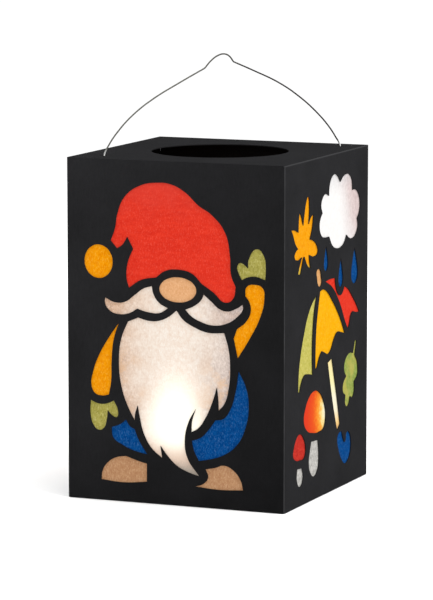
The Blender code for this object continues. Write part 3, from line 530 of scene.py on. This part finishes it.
def beard_sides(g, across, z, mottle):
    """Peach on the left and lilac on the right, with blotches of painted orange lamplight beside the
    lamp.
    """
    peach = g.mix(mottle, (0.56, 0.34, 0.22), (0.90, 0.66, 0.50))
    lilac = g.mix(mottle, (0.42, 0.33, 0.31), (0.84, 0.69, 0.62))
    sides = g.mix(g.remap(across, -0.012, 0.012), peach, lilac)
    # Painted lamplight: orange blotches, more of them nearer the lamp's level
    painted_lamp_orange = g.remap(g.noise(110.0, 3.0, 0.6), 0.46, 0.60, smooth=True)
    beside = g.remap(z, 0.096, 0.070, 0.25, 1.0, smooth=True)
    painted_lamp_orange = g.math("MULTIPLY", g.math("MULTIPLY", painted_lamp_orange, 0.85), beside)
    return g.mix(painted_lamp_orange, sides, (0.80, 0.50, 0.30))


def core_light(g, across, z):
    """The lamp seen through the paper: an upright egg, narrower towards its top."""
    wide = g.math("DIVIDE", across, g.remap(z, 0.040, 0.090, 0.0205, 0.0125))
    rise = g.math("SUBTRACT", z, BEARD_LEVEL)
    low = g.math("DIVIDE", rise, -0.0190)
    high = g.math("DIVIDE", rise, 0.0290)
    tall = g.math("MAXIMUM", low, high)
    square = g.math("MULTIPLY_ADD", wide, wide, g.math("MULTIPLY", tall, tall))
    return g.math("EXPONENT", g.math("MULTIPLY", square, -1.6))


def ramp(g, value, *stops):
    """A colour for each place of the value."""
    made = g.node("ShaderNodeValToRGB")
    made.color_ramp.interpolation = "LINEAR"
    elements = made.color_ramp.elements
    elements[0].position, elements[0].color = stops[0][0], (*stops[0][1], 1)
    elements[1].position, elements[1].color = stops[-1][0], (*stops[-1][1], 1)
    for place, colour in stops[1:-1]:
        element = elements.new(place)
        element.color = (*colour, 1)
    g.join(value, made.inputs[0])
    return made.outputs[0]


def autumn_across(g):
    """Distance to the right of the middle of an autumn wall, seen from outside."""
    x, y, _ = g.axes()
    return g.math("MULTIPLY", y, g.math("SIGN", x))


def spot_distance(g, tall):
    """Distance in metres from where the lamp lights an autumn wall most."""
    across = autumn_across(g)
    up = g.math("DIVIDE", g.math("SUBTRACT", g.axes()[2], LAMP_LEVEL), tall)
    square = g.math("MULTIPLY_ADD", across, across, g.math("MULTIPLY", up, up))
    return g.math("SQRT", square)


def cap_paper(name, light):
    """Red paper beside the lamp, with the lamp's glow painted on: red far from its brightest spot,
    then orange, amber, and almost white nearest it.
    """
    g = Graph(name)
    mottle, fine, fibre = pulp(g)
    rough = g.math("MULTIPLY_ADD", g.math("SUBTRACT", mottle, 0.5), 0.0055, spot_distance(g, 1.2))
    # Painted lamplight: the colour runs from red to almost white nearer the lamp's brightest spot
    lamp_glow_ramp = ramp(
        g, g.math("DIVIDE", rough, 0.040),
        (0.06, (1.0, 0.96, 0.74)), (0.17, (1.0, 0.82, 0.33)), (0.27, (0.99, 0.42, 0.050)),
        (0.38, (0.93, 0.24, 0.025)), (0.50, (0.86, 0.105, 0.018)), (0.75, (0.78, 0.055, 0.020)),
    )
    speck = g.remap(fine, 0.47, 0.34, smooth=True)
    shade = g.mix(g.math("MULTIPLY", speck, 0.30), lamp_glow_ramp, (0.62, 0.045, 0.020))
    return lit_paper(g, shade, light, mottle, fibre)


def shaft_paper(name, light):
    """Cream paper with the lamp's glow painted on: palest beside the lamp, orange at its foot."""
    g = Graph(name)
    mottle, _, fibre = pulp(g)
    rough = g.math("MULTIPLY_ADD", g.math("SUBTRACT", mottle, 0.5), 0.004, g.axes()[2])
    # Painted lamplight: the colour follows the height, palest at the lamp's level
    lamp_glow_ramp = ramp(
        g, g.math("DIVIDE", rough, 0.1),
        (0.34, (0.80, 0.42, 0.16)), (0.40, (0.98, 0.68, 0.28)), (0.47, (1.0, 0.90, 0.66)),
        (0.55, (0.98, 0.92, 0.70)), (0.66, (0.98, 0.90, 0.46)), (0.80, (0.98, 0.80, 0.40)),
    )
    return lit_paper(g, lamp_glow_ramp, light, mottle, fibre)


def cloud_paper(name, light):
    """White paper far from the lamp: grey and pink towards its right side and top."""
    g = Graph(name)
    mottle, fine, fibre = pulp(g)
    across = autumn_across(g)
    z = g.axes()[2]
    drift = g.math("SUBTRACT", g.noise(60.0, 3.0, 0.6), 0.5)
    slant = g.math("MULTIPLY_ADD", g.math("SUBTRACT", z, 0.166), 0.45, across)
    slant = g.math("MULTIPLY_ADD", drift, 0.014, slant)
    edge = ragged_share(g, slant, 0.018, 0.050, 0.026, fine)
    white = g.mix(mottle, (0.90, 0.88, 0.86), (0.98, 0.96, 0.95))
    pink = g.mix(mottle, (0.58, 0.46, 0.45), (0.82, 0.68, 0.66))
    shade = g.mix(edge, white, pink)
    top = ragged_share(g, z, 0.174, 0.190, 0.010, fine)
    grey = g.mix(mottle, (0.50, 0.49, 0.50), (0.78, 0.77, 0.78))
    shade = g.mix(g.math("MULTIPLY", top, 0.6), shade, grey)
    return lit_paper(g, shade, light, mottle, fibre)


def maple_paper(name, light, colour, dark, pale):
    """Amber paper with the leaf's stalk lime green."""
    g = Graph(name)
    mottle, fine, fibre = pulp(g)
    shade = specked(g, g.mix(mottle, dark, colour), pale, fine, fibre)
    stalk = g.remap(g.axes()[2], 0.1405, 0.1370)
    shade = g.mix(g.math("MULTIPLY", stalk, 0.6), shade, (0.62, 0.58, 0.10))
    return lit_paper(g, shade, light, mottle, fibre)


def oak_paper(name, light, colour, dark, pale):
    """Green paper in two tones, from leaf green to olive brown."""
    g = Graph(name)
    mottle, fine, fibre = pulp(g)
    patch = g.remap(g.noise(75.0, 3.0, 0.6), 0.42, 0.60, smooth=True)
    shade = g.mix(mottle, dark, colour)
    shade = g.mix(g.math("MULTIPLY", patch, 0.75), shade, (0.52, 0.46, 0.10))
    shade = specked(g, shade, pale, fine, fibre)
    return lit_paper(g, shade, light, mottle, fibre)


def wire_material():
    """Drawn steel: tarnished along the arch, darker to the right as a painted reflection, and bright
    at its ends as a painted highlight.
    """
    g = Graph("drawn_steel_wire")
    dull = g.noise(140.0, 3.0, 0.6)
    scratch = g.noise(1.0, 2.0, 0.5, g.stretched((600.0, 600.0, 6000.0)))
    x, _, z = g.axes()
    # Darker towards the right arm: a painted reflection of the dark lantern over the tarnish
    right = g.remap(x, -0.02, 0.02, smooth=True)
    tarnish_and_painted_reflection = g.mix(right, (0.080, 0.080, 0.070), (0.012, 0.012, 0.012))
    tarnish_and_painted_reflection = g.mix(g.math("MULTIPLY", dull, 0.35), tarnish_and_painted_reflection, (0.06, 0.055, 0.05))
    # Brighter where the wire rises from the top: a painted highlight
    end = g.remap(z, HEIGHT + 0.0045, HEIGHT + 0.001, smooth=True)
    g.set(Base_Color=g.mix(end, tarnish_and_painted_reflection, (0.46, 0.46, 0.45)))
    g.set(Metallic=g.math("MULTIPLY_ADD", end, 0.5, 0.5))
    g.set(Specular_IOR_Level=0.05, Specular_Tint=(0.08, 0.08, 0.08, 1))
    g.set(Roughness=g.remap(g.math("ADD", dull, scratch), 0.7, 1.3, 0.42, 0.60))
    g.bump(scratch, 0.00001, 0.5)
    return g.material


def plastic_material(name, colour, roughness):
    """Moulded plastic with a fine mould texture and a faint unevenness."""
    g = Graph(name)
    cloud = g.noise(90.0, 2.0, 0.5)
    fine = g.noise(900.0, 2.0, 0.5)
    g.set(Base_Color=g.mix(cloud, tuple(0.92 * c for c in colour), colour))
    g.set(Roughness=g.remap(fine, 0.3, 0.7, roughness - 0.05, roughness + 0.06))
    g.bump(fine, 0.00002, 0.3)
    return g.material


def cup_material():
    """White plastic, warm where the flame lights it from inside."""
    g = Graph("lit_white_plastic")
    fine = g.noise(800.0, 2.0, 0.5)
    near = g.math("DIVIDE", g.distance((0, 0, 0.019)), 0.008)
    warm = g.math("EXPONENT", g.math("MULTIPLY", near, -1.0))
    g.set(Base_Color=g.mix(fine, (0.80, 0.79, 0.76), (0.86, 0.85, 0.82)))
    g.set(Roughness=g.remap(fine, 0.3, 0.7, 0.34, 0.46), Emission_Strength=1.0)
    g.set(Emission_Color=g.scaled((1.0, 0.62, 0.25), g.math("MULTIPLY", warm, 2.2)))
    g.bump(fine, 0.00002, 0.3)
    return g.material


def flame_material():
    """Frosted plastic flame, brightest over the lamp in its foot."""
    g = Graph("lit_frosted_flame")
    z = g.axes()[2]
    fine = g.noise(700.0, 3.0, 0.6)
    foot = g.remap(z, 0.014, 0.046, 1.0, 0.0)
    level = g.math("MULTIPLY_ADD", g.math("POWER", foot, 1.5), 5.0, 1.6)
    level = g.math("MULTIPLY", level, g.remap(fine, 0.3, 0.7, 0.93, 1.05))
    g.set(Base_Color=g.mix(fine, (0.90, 0.72, 0.42), (0.96, 0.80, 0.50)))
    g.set(Roughness=g.remap(fine, 0.3, 0.7, 0.32, 0.45), Emission_Strength=1.0)
    shade = g.mix(foot, (1.0, 0.50, 0.14), (1.0, 0.70, 0.32))
    g.set(Emission_Color=g.scaled(shade, level))
    g.bump(fine, 0.00003, 0.4)
    return g.material


def led_material():
    """Clear epoxy lamp that shines warm."""
    g = Graph("warm_led_epoxy")
    z = g.axes()[2]
    fine = g.noise(600.0, 2.0, 0.5)
    top = g.remap(z, 0.010, 0.018)
    g.set(Base_Color=g.mix(fine, (0.92, 0.85, 0.62), (0.96, 0.90, 0.70)))
    g.set(Roughness=g.remap(fine, 0.3, 0.7, 0.06, 0.14), Emission_Strength=1.0)
    g.set(Emission_Color=g.scaled((1.0, 0.75, 0.40), g.math("MULTIPLY", top, 12.0)))
    return g.material


def cell_material():
    """Nickelled steel, turned and slightly scuffed."""
    g = Graph("nickelled_steel")
    scuff = g.noise(500.0, 4.0, 0.7)
    ring = g.node("ShaderNodeTexWave", wave_type="RINGS", rings_direction="Z")
    g.fill(ring, Vector=g.place, Scale=900.0, Distortion=0.4)
    g.set(Base_Color=g.mix(scuff, (0.52, 0.51, 0.48), (0.66, 0.65, 0.62)), Metallic=1.0)
    g.set(Roughness=g.remap(scuff, 0.3, 0.7, 0.20, 0.38))
    g.bump(ring.outputs["Fac"], 0.00001, 0.3)
    return g.material


def floor_material():
    g = Graph("pale_floor")
    g.set(Base_Color=(0.70, 0.70, 0.70, 1.0), Roughness=0.9, Specular_IOR_Level=0.1)
    return g.material


# ------------------------------------------------------------- geometry


def add_piece(name, data, body, material, slot, *nodes):
    """A piece that rides on a body and stands for these CAD nodes."""
    obj = bpy.data.objects.new(name, data)
    bpy.context.scene.collection.objects.link(obj)
    data.materials.clear()
    data.materials.append(material)
    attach(obj, body)
    if nodes:
        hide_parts(*nodes)
    return obj


def curve_points(spline, points):
    """Gives a Bezier spline these (x, y, z, kind) points."""
    spline.bezier_points.add(len(points) - 1)
    for point, (x, y, z, kind) in zip(spline.bezier_points, points):
        point.co = (x, y, z)
        point.handle_left_type = kind
        point.handle_right_type = kind


def flat_mesh(name, outlines, thickness, resolution):
    """A flat sheet bounded by closed outlines, as a welded mesh."""
    curve = bpy.data.curves.new(name, "CURVE")
    curve.dimensions = "2D"
    curve.fill_mode = "BOTH"
    curve.extrude = thickness / 2
    curve.resolution_u = resolution
    for outline in outlines:
        spline = curve.splines.new("BEZIER")
        curve_points(spline, [(x, y, 0, kind) for x, y, kind in outline])
        spline.use_cyclic_u = True
    mesh = evaluated_mesh(name, curve)
    bpy.data.curves.remove(curve)
    return mesh


def evaluated_mesh(name, data):
    shape = bpy.data.objects.new(name, data)
    bpy.context.scene.collection.objects.link(shape)
    bpy.context.view_layer.update()
    graph = bpy.context.evaluated_depsgraph_get()
    mesh = bpy.data.meshes.new_from_object(shape.evaluated_get(graph))
    bpy.data.objects.remove(shape)
    mesh.name = name
    return mesh


def folded(mesh, cuts, bend):
    """Cuts the sheet along x or y lines, then moves each point where bend puts it."""
    bm = bmesh.new()
    bm.from_mesh(mesh)
    bmesh.ops.remove_doubles(bm, verts=bm.verts, dist=WELD)
    for axis, value in cuts:
        normal = Vector((1, 0, 0)) if axis == "x" else Vector((0, 1, 0))
        bmesh.ops.bisect_plane(
            bm,
            geom=bm.verts[:] + bm.edges[:] + bm.faces[:],
            plane_co=normal * value,
            plane_no=normal,
            dist=WELD,
        )
    for vert in bm.verts:
        vert.co = bend(vert.co)
    bmesh.ops.recalc_face_normals(bm, faces=bm.faces)
    bm.to_mesh(mesh)
    bm.free()
    mesh.shade_smooth()
    mesh.set_sharp_from_angle(angle=math.radians(30))
    return mesh


def turned_mesh(name, profile, steps):
    """A solid turned from (radius, height) points: closed, or open along the axis."""
    mesh = bpy.data.meshes.new(name)
    bm = bmesh.new()
    verts = [bm.verts.new((radius, 0, height)) for radius, height in profile]
    for first, second in zip(verts, verts[1:]):
        bm.edges.new((first, second))
    if profile[0][0] > 0:
        bm.edges.new((verts[-1], verts[0]))
    bmesh.ops.spin(
        bm,
        geom=bm.verts[:] + bm.edges[:],
        cent=(0, 0, 0),
        axis=(0, 0, 1),
        angle=math.tau,
        steps=steps,
        use_merge=True,
    )
    bmesh.ops.remove_doubles(bm, verts=bm.verts, dist=WELD)
    bmesh.ops.recalc_face_normals(bm, faces=bm.faces)
    bm.to_mesh(mesh)
    bm.free()
    mesh.shade_smooth()
    mesh.set_sharp_from_angle(angle=math.radians(35))
    return mesh


def rounded(profile, radius, steps=3):
    """The profile with its corners cut to short arcs."""
    soft = []
    for i, (r, h) in enumerate(profile):
        here = Vector((r, h))
        first = Vector(profile[i - 1])
        last = Vector(profile[(i + 1) % len(profile)])
        if r < 1e-9 or i in (0, len(profile) - 1):
            soft.append((r, h))
            continue
        before = first - here
        after = last - here
        cut = min(radius, 0.4 * before.length, 0.4 * after.length)
        start = here + before.normalized() * cut
        end = here + after.normalized() * cut
        for step in range(steps + 1):
            t = step / steps
            point = start.lerp(here, t).lerp(here.lerp(end, t), t)
            soft.append((point.x, point.y))
    return soft


# --------------------------------------------------------------- pieces


def shifted(points, along):
    """Drawing points in metres on the unfolded strip."""
    return [(x * MM + along, z * MM, kind) for x, z, kind in points]


def sleeve_outline():
    """Edge of the flat sheet: four walls in a row, then the tab with slanted ends."""
    end = SEAM_FOLD + TAB
    near = TAB_START
    return [
        (0, 0, C), (SEAM_FOLD, 0, C), (SEAM_FOLD, near, C), (end, near + TAB, C),
        (end, HEIGHT - near - TAB, C), (SEAM_FOLD, HEIGHT - near, C),
        (SEAM_FOLD, HEIGHT, C), (0, HEIGHT, C),
    ]


def sleeve_cuts(steps=6):
    """Lines that let the sheet bend at its folds, and end the tab's fold at its ends."""
    cuts = []
    for corner in CORNERS:
        for step in range(steps + 1):
            cuts.append(("x", corner + FOLD_RADIUS * (2 * step / steps - 1)))
    for level in (TAB_START, HEIGHT - TAB_START):
        cuts += [("y", level - SEAM_GAP), ("y", level + SEAM_GAP)]
    return cuts


def sleeve_turns():
    """Corners of the outer face, from the back left one, and the way that each wall runs."""
    half = SIDE / 2
    return [
        (Vector((-half, half)), Vector((0, -1))),
        (Vector((-half, -half)), Vector((1, 0))),
        (Vector((half, -half)), Vector((0, 1))),
        (Vector((half, half)), Vector((-1, 0))),
        (Vector((-half + CARD + SEAM_GAP, half)), Vector((0, -1))),
    ]


def make_sleeve(material):
    """One sheet of card with all the windows, folded round four corners and a tab."""
    outlines = [sleeve_outline()]
    for wall, drawing in enumerate((AUTUMN, GNOME, AUTUMN, GNOME)):
        outlines += [shifted(points, wall * SIDE) for points in drawing.values()]
    mesh = flat_mesh("card_walls", outlines, CARD, 8)
    starts = [0, *CORNERS]
    turns = sleeve_turns()
    tab_low = TAB_START - SEAM_GAP / 2
    tab_high = HEIGHT - TAB_START + SEAM_GAP / 2

    def bend(point):
        deep = CARD / 2 - point.z
        number = sum(point.x > corner for corner in CORNERS)
        start, way = turns[number]
        inward = Vector((-way.y, way.x))
        along = point.x - starts[number]
        nearest = number if along < FOLD_RADIUS and number > 0 else number + 1
        # Above and below its tab the last wall runs flat to its end
        past_tab = nearest == len(turns) - 1 and not tab_low < point.y < tab_high
        is_flat = past_tab or nearest >= len(turns)
        offset = 0 if is_flat else point.x - starts[nearest]
        if is_flat or abs(offset) >= FOLD_RADIUS:
            flat = start + way * along + inward * deep
            return Vector((flat.x, flat.y, point.y))
        pivot_corner, way_out = turns[nearest]
        way_in = turns[nearest - 1][1]
        pivot = pivot_corner + (way_out - way_in) * FOLD_RADIUS
        angle = (offset / FOLD_RADIUS + 1) * math.pi / 4
        outward = -way_out * math.cos(angle) + way_in * math.sin(angle)
        flat = pivot + outward * (FOLD_RADIUS - deep)
        return Vector((flat.x, flat.y, point.y))

    mesh = folded(mesh, sleeve_cuts(), bend)
    add_piece("card_walls", mesh, "lantern", material, "black_card", "card_sleeve")


def tray_outline(half):
    """Edge of the flat tray: a square with a flap on each side, clear of its corners."""
    reach = half - FLAP_END
    flat_end = half + FLAP
    corner_points = [
        (-half, -half), (-reach, -half), (-reach, -flat_end), (reach, -flat_end), (reach, -half),
    ]
    outline = []
    for quarter in range(4):
        turn = Matrix.Rotation(quarter * math.pi / 2, 2)
        for point in corner_points:
            x, y = turn @ Vector(point)
            outline.append((x, y, C))
    return outline


def round_outline(x, y, radius, count=16):
    turns = [math.tau * i / count for i in range(count)]
    return [(x + radius * math.cos(t), y + radius * math.sin(t), S) for t in turns]


def make_tray(name, node, top, flaps_up, holes, material):
    """A square of card with a flap folded along each side, and round holes."""
    half = SIDE / 2 - CARD - GAP
    outlines = [tray_outline(half)]
    outlines += [round_outline(x, y, radius) for x, y, radius in holes]
    mesh = flat_mesh(name, outlines, CARD, 10)
    fold = 0.0006  # outer radius of a flap's fold
    steps = 5
    cuts = []
    for axis in ("x", "y"):
        for side in (-1, 1):
            for step in range(steps + 1):
                cuts.append((axis, side * (half + fold * (2 * step / steps - 1))))
    sign = 1 if flaps_up else -1

    def bend(point):
        x, y, z = point
        # Depth from the face that ends up outside, which faces away from the flaps
        deep = CARD / 2 + sign * z
        way = Vector((math.copysign(1, x), 0)) if abs(x) > abs(y) else Vector((0, math.copysign(1, y)))
        out = x * way.x + y * way.y
        side = Vector((x, y)) - way * out
        if out <= half - fold:
            place, height = out, deep
        elif out >= half + fold:
            place, height = half - deep, out - half
        else:
            angle = ((out - half) / fold + 1) * math.pi / 4
            place = half - fold + (fold - deep) * math.sin(angle)
            height = fold - (fold - deep) * math.cos(angle)
        flat = side + way * place
        return Vector((flat.x, flat.y, top + sign * height))

    add_piece(name, folded(mesh, cuts, bend), "lantern", material, "black_card", node)


def make_trays(material):
    reach = SIDE / 2 - PINHOLE_INSET / math.sqrt(2)
    holes = [(0, 0, LIGHT_HOLE_RADIUS)]
    shift = PINHOLE_SHIFT / math.sqrt(2)
    for side in (-1, 1):
        holes.append((side * reach + shift, side * reach + shift, PINHOLE_RADIUS))
    make_tray("top_card", "top_tray", HEIGHT, False, holes, material)
    make_tray("bottom_card", "bottom_tray", 0.0, True, [], material)


def make_bail(material):
    """The wire along the diagonal, bent outward under the top at both ends."""
    axis_height = HEIGHT - CARD / 2
    span = math.sqrt(2) * (SIDE / 2 - PINHOLE_INSET / math.sqrt(2))
    below = CARD / 2 + TAIL_DROP
    bend = 2.5 * WIRE_RADIUS
    rise = BAIL_RISE + CARD / 2
    left_tail = [
        (-span - TAIL_LENGTH, -below, C),
        (-span - bend, -below, S),
        (-span - 0.3 * bend, -below + 0.3 * bend, S),
        (-span, -below + bend, S),
        (-span, CARD, S),
    ]
    right_tail = [(-s, h, kind) for s, h, kind in reversed(left_tail)]
    arch = [(share * span, level * rise, kind) for share, level, kind in ARCH]
    curve = bpy.data.curves.new("wire_bail", "CURVE")
    curve.dimensions = "3D"
    curve.bevel_depth = WIRE_RADIUS
    curve.bevel_resolution = 5
    curve.use_fill_caps = True
    curve.resolution_u = 10
    across = math.sqrt(0.5)
    route = [*left_tail, *arch, *right_tail]
    route = [((s + PINHOLE_SHIFT) * across, axis_height + h, kind) for s, h, kind in route]
    points = [(s, s, h, kind) for s, h, kind in route]
    curve_points(curve.splines.new("BEZIER"), points)
    mesh = evaluated_mesh("wire_bail", curve)
    mesh.shade_smooth()
    add_piece("wire_bail", mesh, "bail", material, "steel_wire", "bail")


def cup_profile():
    """The cup from its neck hole out over its dished top and down its wall, and back inside."""
    plate_top = CUP_HEIGHT - CUP_DISH
    plate_bottom = plate_top - CUP_WALL
    inside = CUP_RADIUS - CUP_WALL
    neck_hole = NECK_RADIUS + GAP
    return [
        (neck_hole, plate_top),
        (0.5 * inside, plate_top - 0.00015),
        (inside - 2 * CUP_WALL, plate_top),
        (inside - CUP_WALL, CUP_HEIGHT - 0.3 * CUP_DISH),
        (inside, CUP_HEIGHT),
        (CUP_RADIUS - 0.3 * CUP_WALL, CUP_HEIGHT),
        (CUP_RADIUS, CUP_HEIGHT - 0.5 * CUP_WALL),
        (CUP_RADIUS, 0),
        (inside, 0),
        (inside, plate_bottom),
        (neck_hole, plate_bottom),
    ]


def flame_profile():
    """The flame from its tip down to its collar under the cup's top, and up its bore."""
    collar_top = CUP_HEIGHT - CUP_DISH - CUP_WALL - GAP
    collar_bottom = collar_top - 1.5 * CUP_WALL
    bore = LED_RADIUS + GAP
    bore_top = CUP_HEIGHT + 0.25 * FLAME_HEIGHT
    # Share of the flame's height, share of its radius
    levels = (
        (0.993, 0.035), (0.97, 0.10), (0.93, 0.18), (0.88, 0.27), (0.80, 0.40), (0.72, 0.52),
        (0.63, 0.66), (0.55, 0.78), (0.47, 0.88), (0.40, 0.95), (0.33, 0.99), (0.27, 1.0),
        (0.20, 0.975), (0.13, 0.93), (0.06, 0.80),
    )
    outside = [(share * FLAME_RADIUS, CUP_HEIGHT + level * FLAME_HEIGHT) for level, share in levels]
    return [
        (0, CUP_HEIGHT + FLAME_HEIGHT),
        *outside,
        (NECK_RADIUS, CUP_HEIGHT),
        (NECK_RADIUS, collar_top),
        (1.5 * NECK_RADIUS, collar_top),
        (1.5 * NECK_RADIUS, collar_bottom),
        (bore, collar_bottom),
        (bore, bore_top),
        (0, bore_top + bore),
    ]


def make_light():
    """The tea light's cup with its dished top, and its frosted flame."""
    floor = CARD + GAP
    cup = [(r, h + floor) for r, h in rounded(cup_profile(), 0.0005)]
    mesh = turned_mesh("tea_light_cup", cup, 96)
    add_piece("tea_light_cup", mesh, "tea_light", cup_material(), "white_plastic", "light_cup")
    flame = [(r, h + floor) for r, h in flame_profile()]
    mesh = turned_mesh("tea_light_flame", flame, 64)
    finish = flame_material()
    add_piece("tea_light_flame", mesh, "tea_light", finish, "flame_plastic", "light_flame")


# ------------------------------------------------------ papers and finish

# Each plain paper as it looks when lit: its colour, its darker clouds, its paler specks
RED = ((0.86, 0.050, 0.024), (0.70, 0.028, 0.014), (0.95, 0.17, 0.12))
DULL_RED = ((0.68, 0.042, 0.026), (0.42, 0.022, 0.018), (0.85, 0.14, 0.10))
ORANGE = ((0.99, 0.38, 0.003), (0.84, 0.26, 0.001), (0.98, 0.56, 0.10))
SKIN = ((0.88, 0.48, 0.240), (0.75, 0.38, 0.165), (0.96, 0.64, 0.41))
OLIVE = ((0.49, 0.44, 0.105), (0.31, 0.28, 0.055), (0.76, 0.70, 0.36))
BLUE = ((0.003, 0.082, 0.30), (0.001, 0.043, 0.19), (0.10, 0.23, 0.47))
BROWN = ((0.57, 0.32, 0.165), (0.44, 0.215, 0.105), (0.76, 0.50, 0.32))
LIME = ((0.66, 0.59, 0.140), (0.46, 0.43, 0.075), (0.93, 0.84, 0.45))
AMBER = ((0.97, 0.41, 0.005), (0.86, 0.30, 0.002), (0.98, 0.58, 0.10))
GOLD = ((0.98, 0.49, 0.004), (0.90, 0.39, 0.002), (0.98, 0.66, 0.11))
LEAF = ((0.34, 0.43, 0.095), (0.22, 0.29, 0.055), (0.64, 0.66, 0.29))
STEM = ((0.70, 0.68, 0.64), (0.34, 0.33, 0.31), (0.95, 0.93, 0.89))
FERRULE = ((0.80, 0.44, 0.18), (0.68, 0.33, 0.12), (0.90, 0.58, 0.32))

GNOME_FINISH = {
    "hat": (hat_paper, *RED),
    "pompom": (plain_paper, *ORANGE),
    "nose": (plain_paper, *SKIN),
    "beard": (beard_paper,),
    "sleeve_left": (plain_paper, *ORANGE),
    "sleeve_right": (plain_paper, *ORANGE),
    "mitten_left": (plain_paper, *OLIVE),
    "mitten_right": (plain_paper, *OLIVE),
    "trousers_left": (plain_paper, *BLUE),
    "trousers_right": (plain_paper, *BLUE),
    "shoe_left": (plain_paper, *BROWN),
    "shoe_right": (plain_paper, *BROWN),
}
AUTUMN_FINISH = {
    "cloud": (cloud_paper,),
    "maple_leaf": (maple_paper, *AMBER),
    "raindrops": (plain_paper, *BLUE),
    "ferrule": (plain_paper, *FERRULE),
    "canopy_left": (plain_paper, *LIME),
    "canopy_middle": (plain_paper, *GOLD),
    "canopy_right": (plain_paper, *RED),
    "shaft": (shaft_paper,),
    "handle": (plain_paper, *BLUE),
    "oak_leaf": (oak_paper, *LEAF),
    "cap_large": (cap_paper,),
    "cap_small": (plain_paper, *DULL_RED),
    "stems": (plain_paper, *STEM),
}
# How brightly the studio lights each wall
WALL_LIGHT = {"front": 1.72, "back": 1.72, "left": 1.72, "right": 2.68}


def finish_papers():
    for wall, light in WALL_LIGHT.items():
        finishes = GNOME_FINISH if wall in ("front", "back") else AUTUMN_FINISH
        for part, (make, *colours) in finishes.items():
            name = "lit_" + "_".join([make.__name__, part, "bright" if light > 2 else "shade"])
            material = bpy.data.materials.get(name) or make(name, light, *colours)
            dress(f"{wall}_{part}_paper", material)


def dress(node, material):
    """Gives a CAD node its finish."""
    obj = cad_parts[node]
    obj.data.materials.clear()
    obj.data.materials.append(material)


# ---------------------------------------------------------------- stage


def make_floor():
    mesh = bpy.data.meshes.new("floor")
    bm = bmesh.new()
    bmesh.ops.create_circle(bm, cap_ends=True, segments=96, radius=1.7)
    bm.to_mesh(mesh)
    bm.free()
    floor = bpy.data.objects.new("floor", mesh)
    floor.location = (0, 0, -0.0003)  # clear of the underside, so that the two don't flicker
    bpy.context.scene.collection.objects.link(floor)
    mesh.materials.append(floor_material())


def add_area(name, place, target, size, power):
    light = bpy.data.lights.new(name, "AREA")
    light.shape = "SQUARE"
    light.size = size
    light.energy = power
    lamp = bpy.data.objects.new(name, light)
    bpy.context.scene.collection.objects.link(lamp)
    lamp.location = place
    aim = Vector(target) - Vector(place)
    lamp.rotation_euler = aim.to_track_quat("-Z", "Y").to_euler()


def make_lights():
    world = bpy.data.worlds.new("studio")
    world.use_nodes = True
    background = world.node_tree.nodes["Background"]
    background.inputs["Color"].default_value = (1.0, 1.0, 1.0, 1.0)
    background.inputs["Strength"].default_value = 1.05
    bpy.context.scene.world = world
    add_area("overhead", (0.0, 0.0, 2.2), (0, 0, 0), 3.0, 70)
    add_area("side", (2.5, -0.2, 1.2), (0, 0, 0.1), 2.4, 140)
    flame = bpy.data.lights.new("flame_light", "POINT")
    flame.energy = 0.003
    flame.color = (1.0, 0.68, 0.36)
    flame.shadow_soft_size = 0.006
    lamp = bpy.data.objects.new("flame_light", flame)
    bpy.context.scene.collection.objects.link(lamp)
    lamp.location = (0, 0, 0.052)


def make_camera():
    yaw = math.radians(22.57)
    pitch = math.radians(7.95)
    distance = 2.236
    data = bpy.data.cameras.new("camera")
    data.sensor_width = 36.0
    data.sensor_fit = "AUTO"
    data.lens = 226.5
    data.clip_end = 100.0
    camera = bpy.data.objects.new("camera", data)
    bpy.context.scene.collection.objects.link(camera)
    back = Vector((
        math.sin(yaw) * math.cos(pitch),
        -math.cos(yaw) * math.cos(pitch),
        math.sin(pitch),
    ))
    right = Vector((math.cos(yaw), math.sin(yaw), 0.0))
    up = back.cross(right)
    target = Vector((0, 0, 0.100)) - 0.0021 * right + 0.0112 * up
    turn = Matrix((right, up, back)).transposed().to_4x4()
    camera.matrix_world = Matrix.Translation(target + distance * back) @ turn
    bpy.context.scene.camera = camera


card = card_material()
make_sleeve(card)
make_trays(card)
make_bail(wire_material())
make_light()
finish_papers()
dress("light_base", plastic_material("white_moulded_plastic", (0.82, 0.82, 0.80), 0.42))
dress("led", led_material())
dress("coin_cell", cell_material())
dress("switch_slider", plastic_material("black_moulded_plastic", (0.02, 0.02, 0.02), 0.45))
make_floor()
make_lights()
make_camera()
bpy.context.scene.view_settings.view_transform = "Standard"
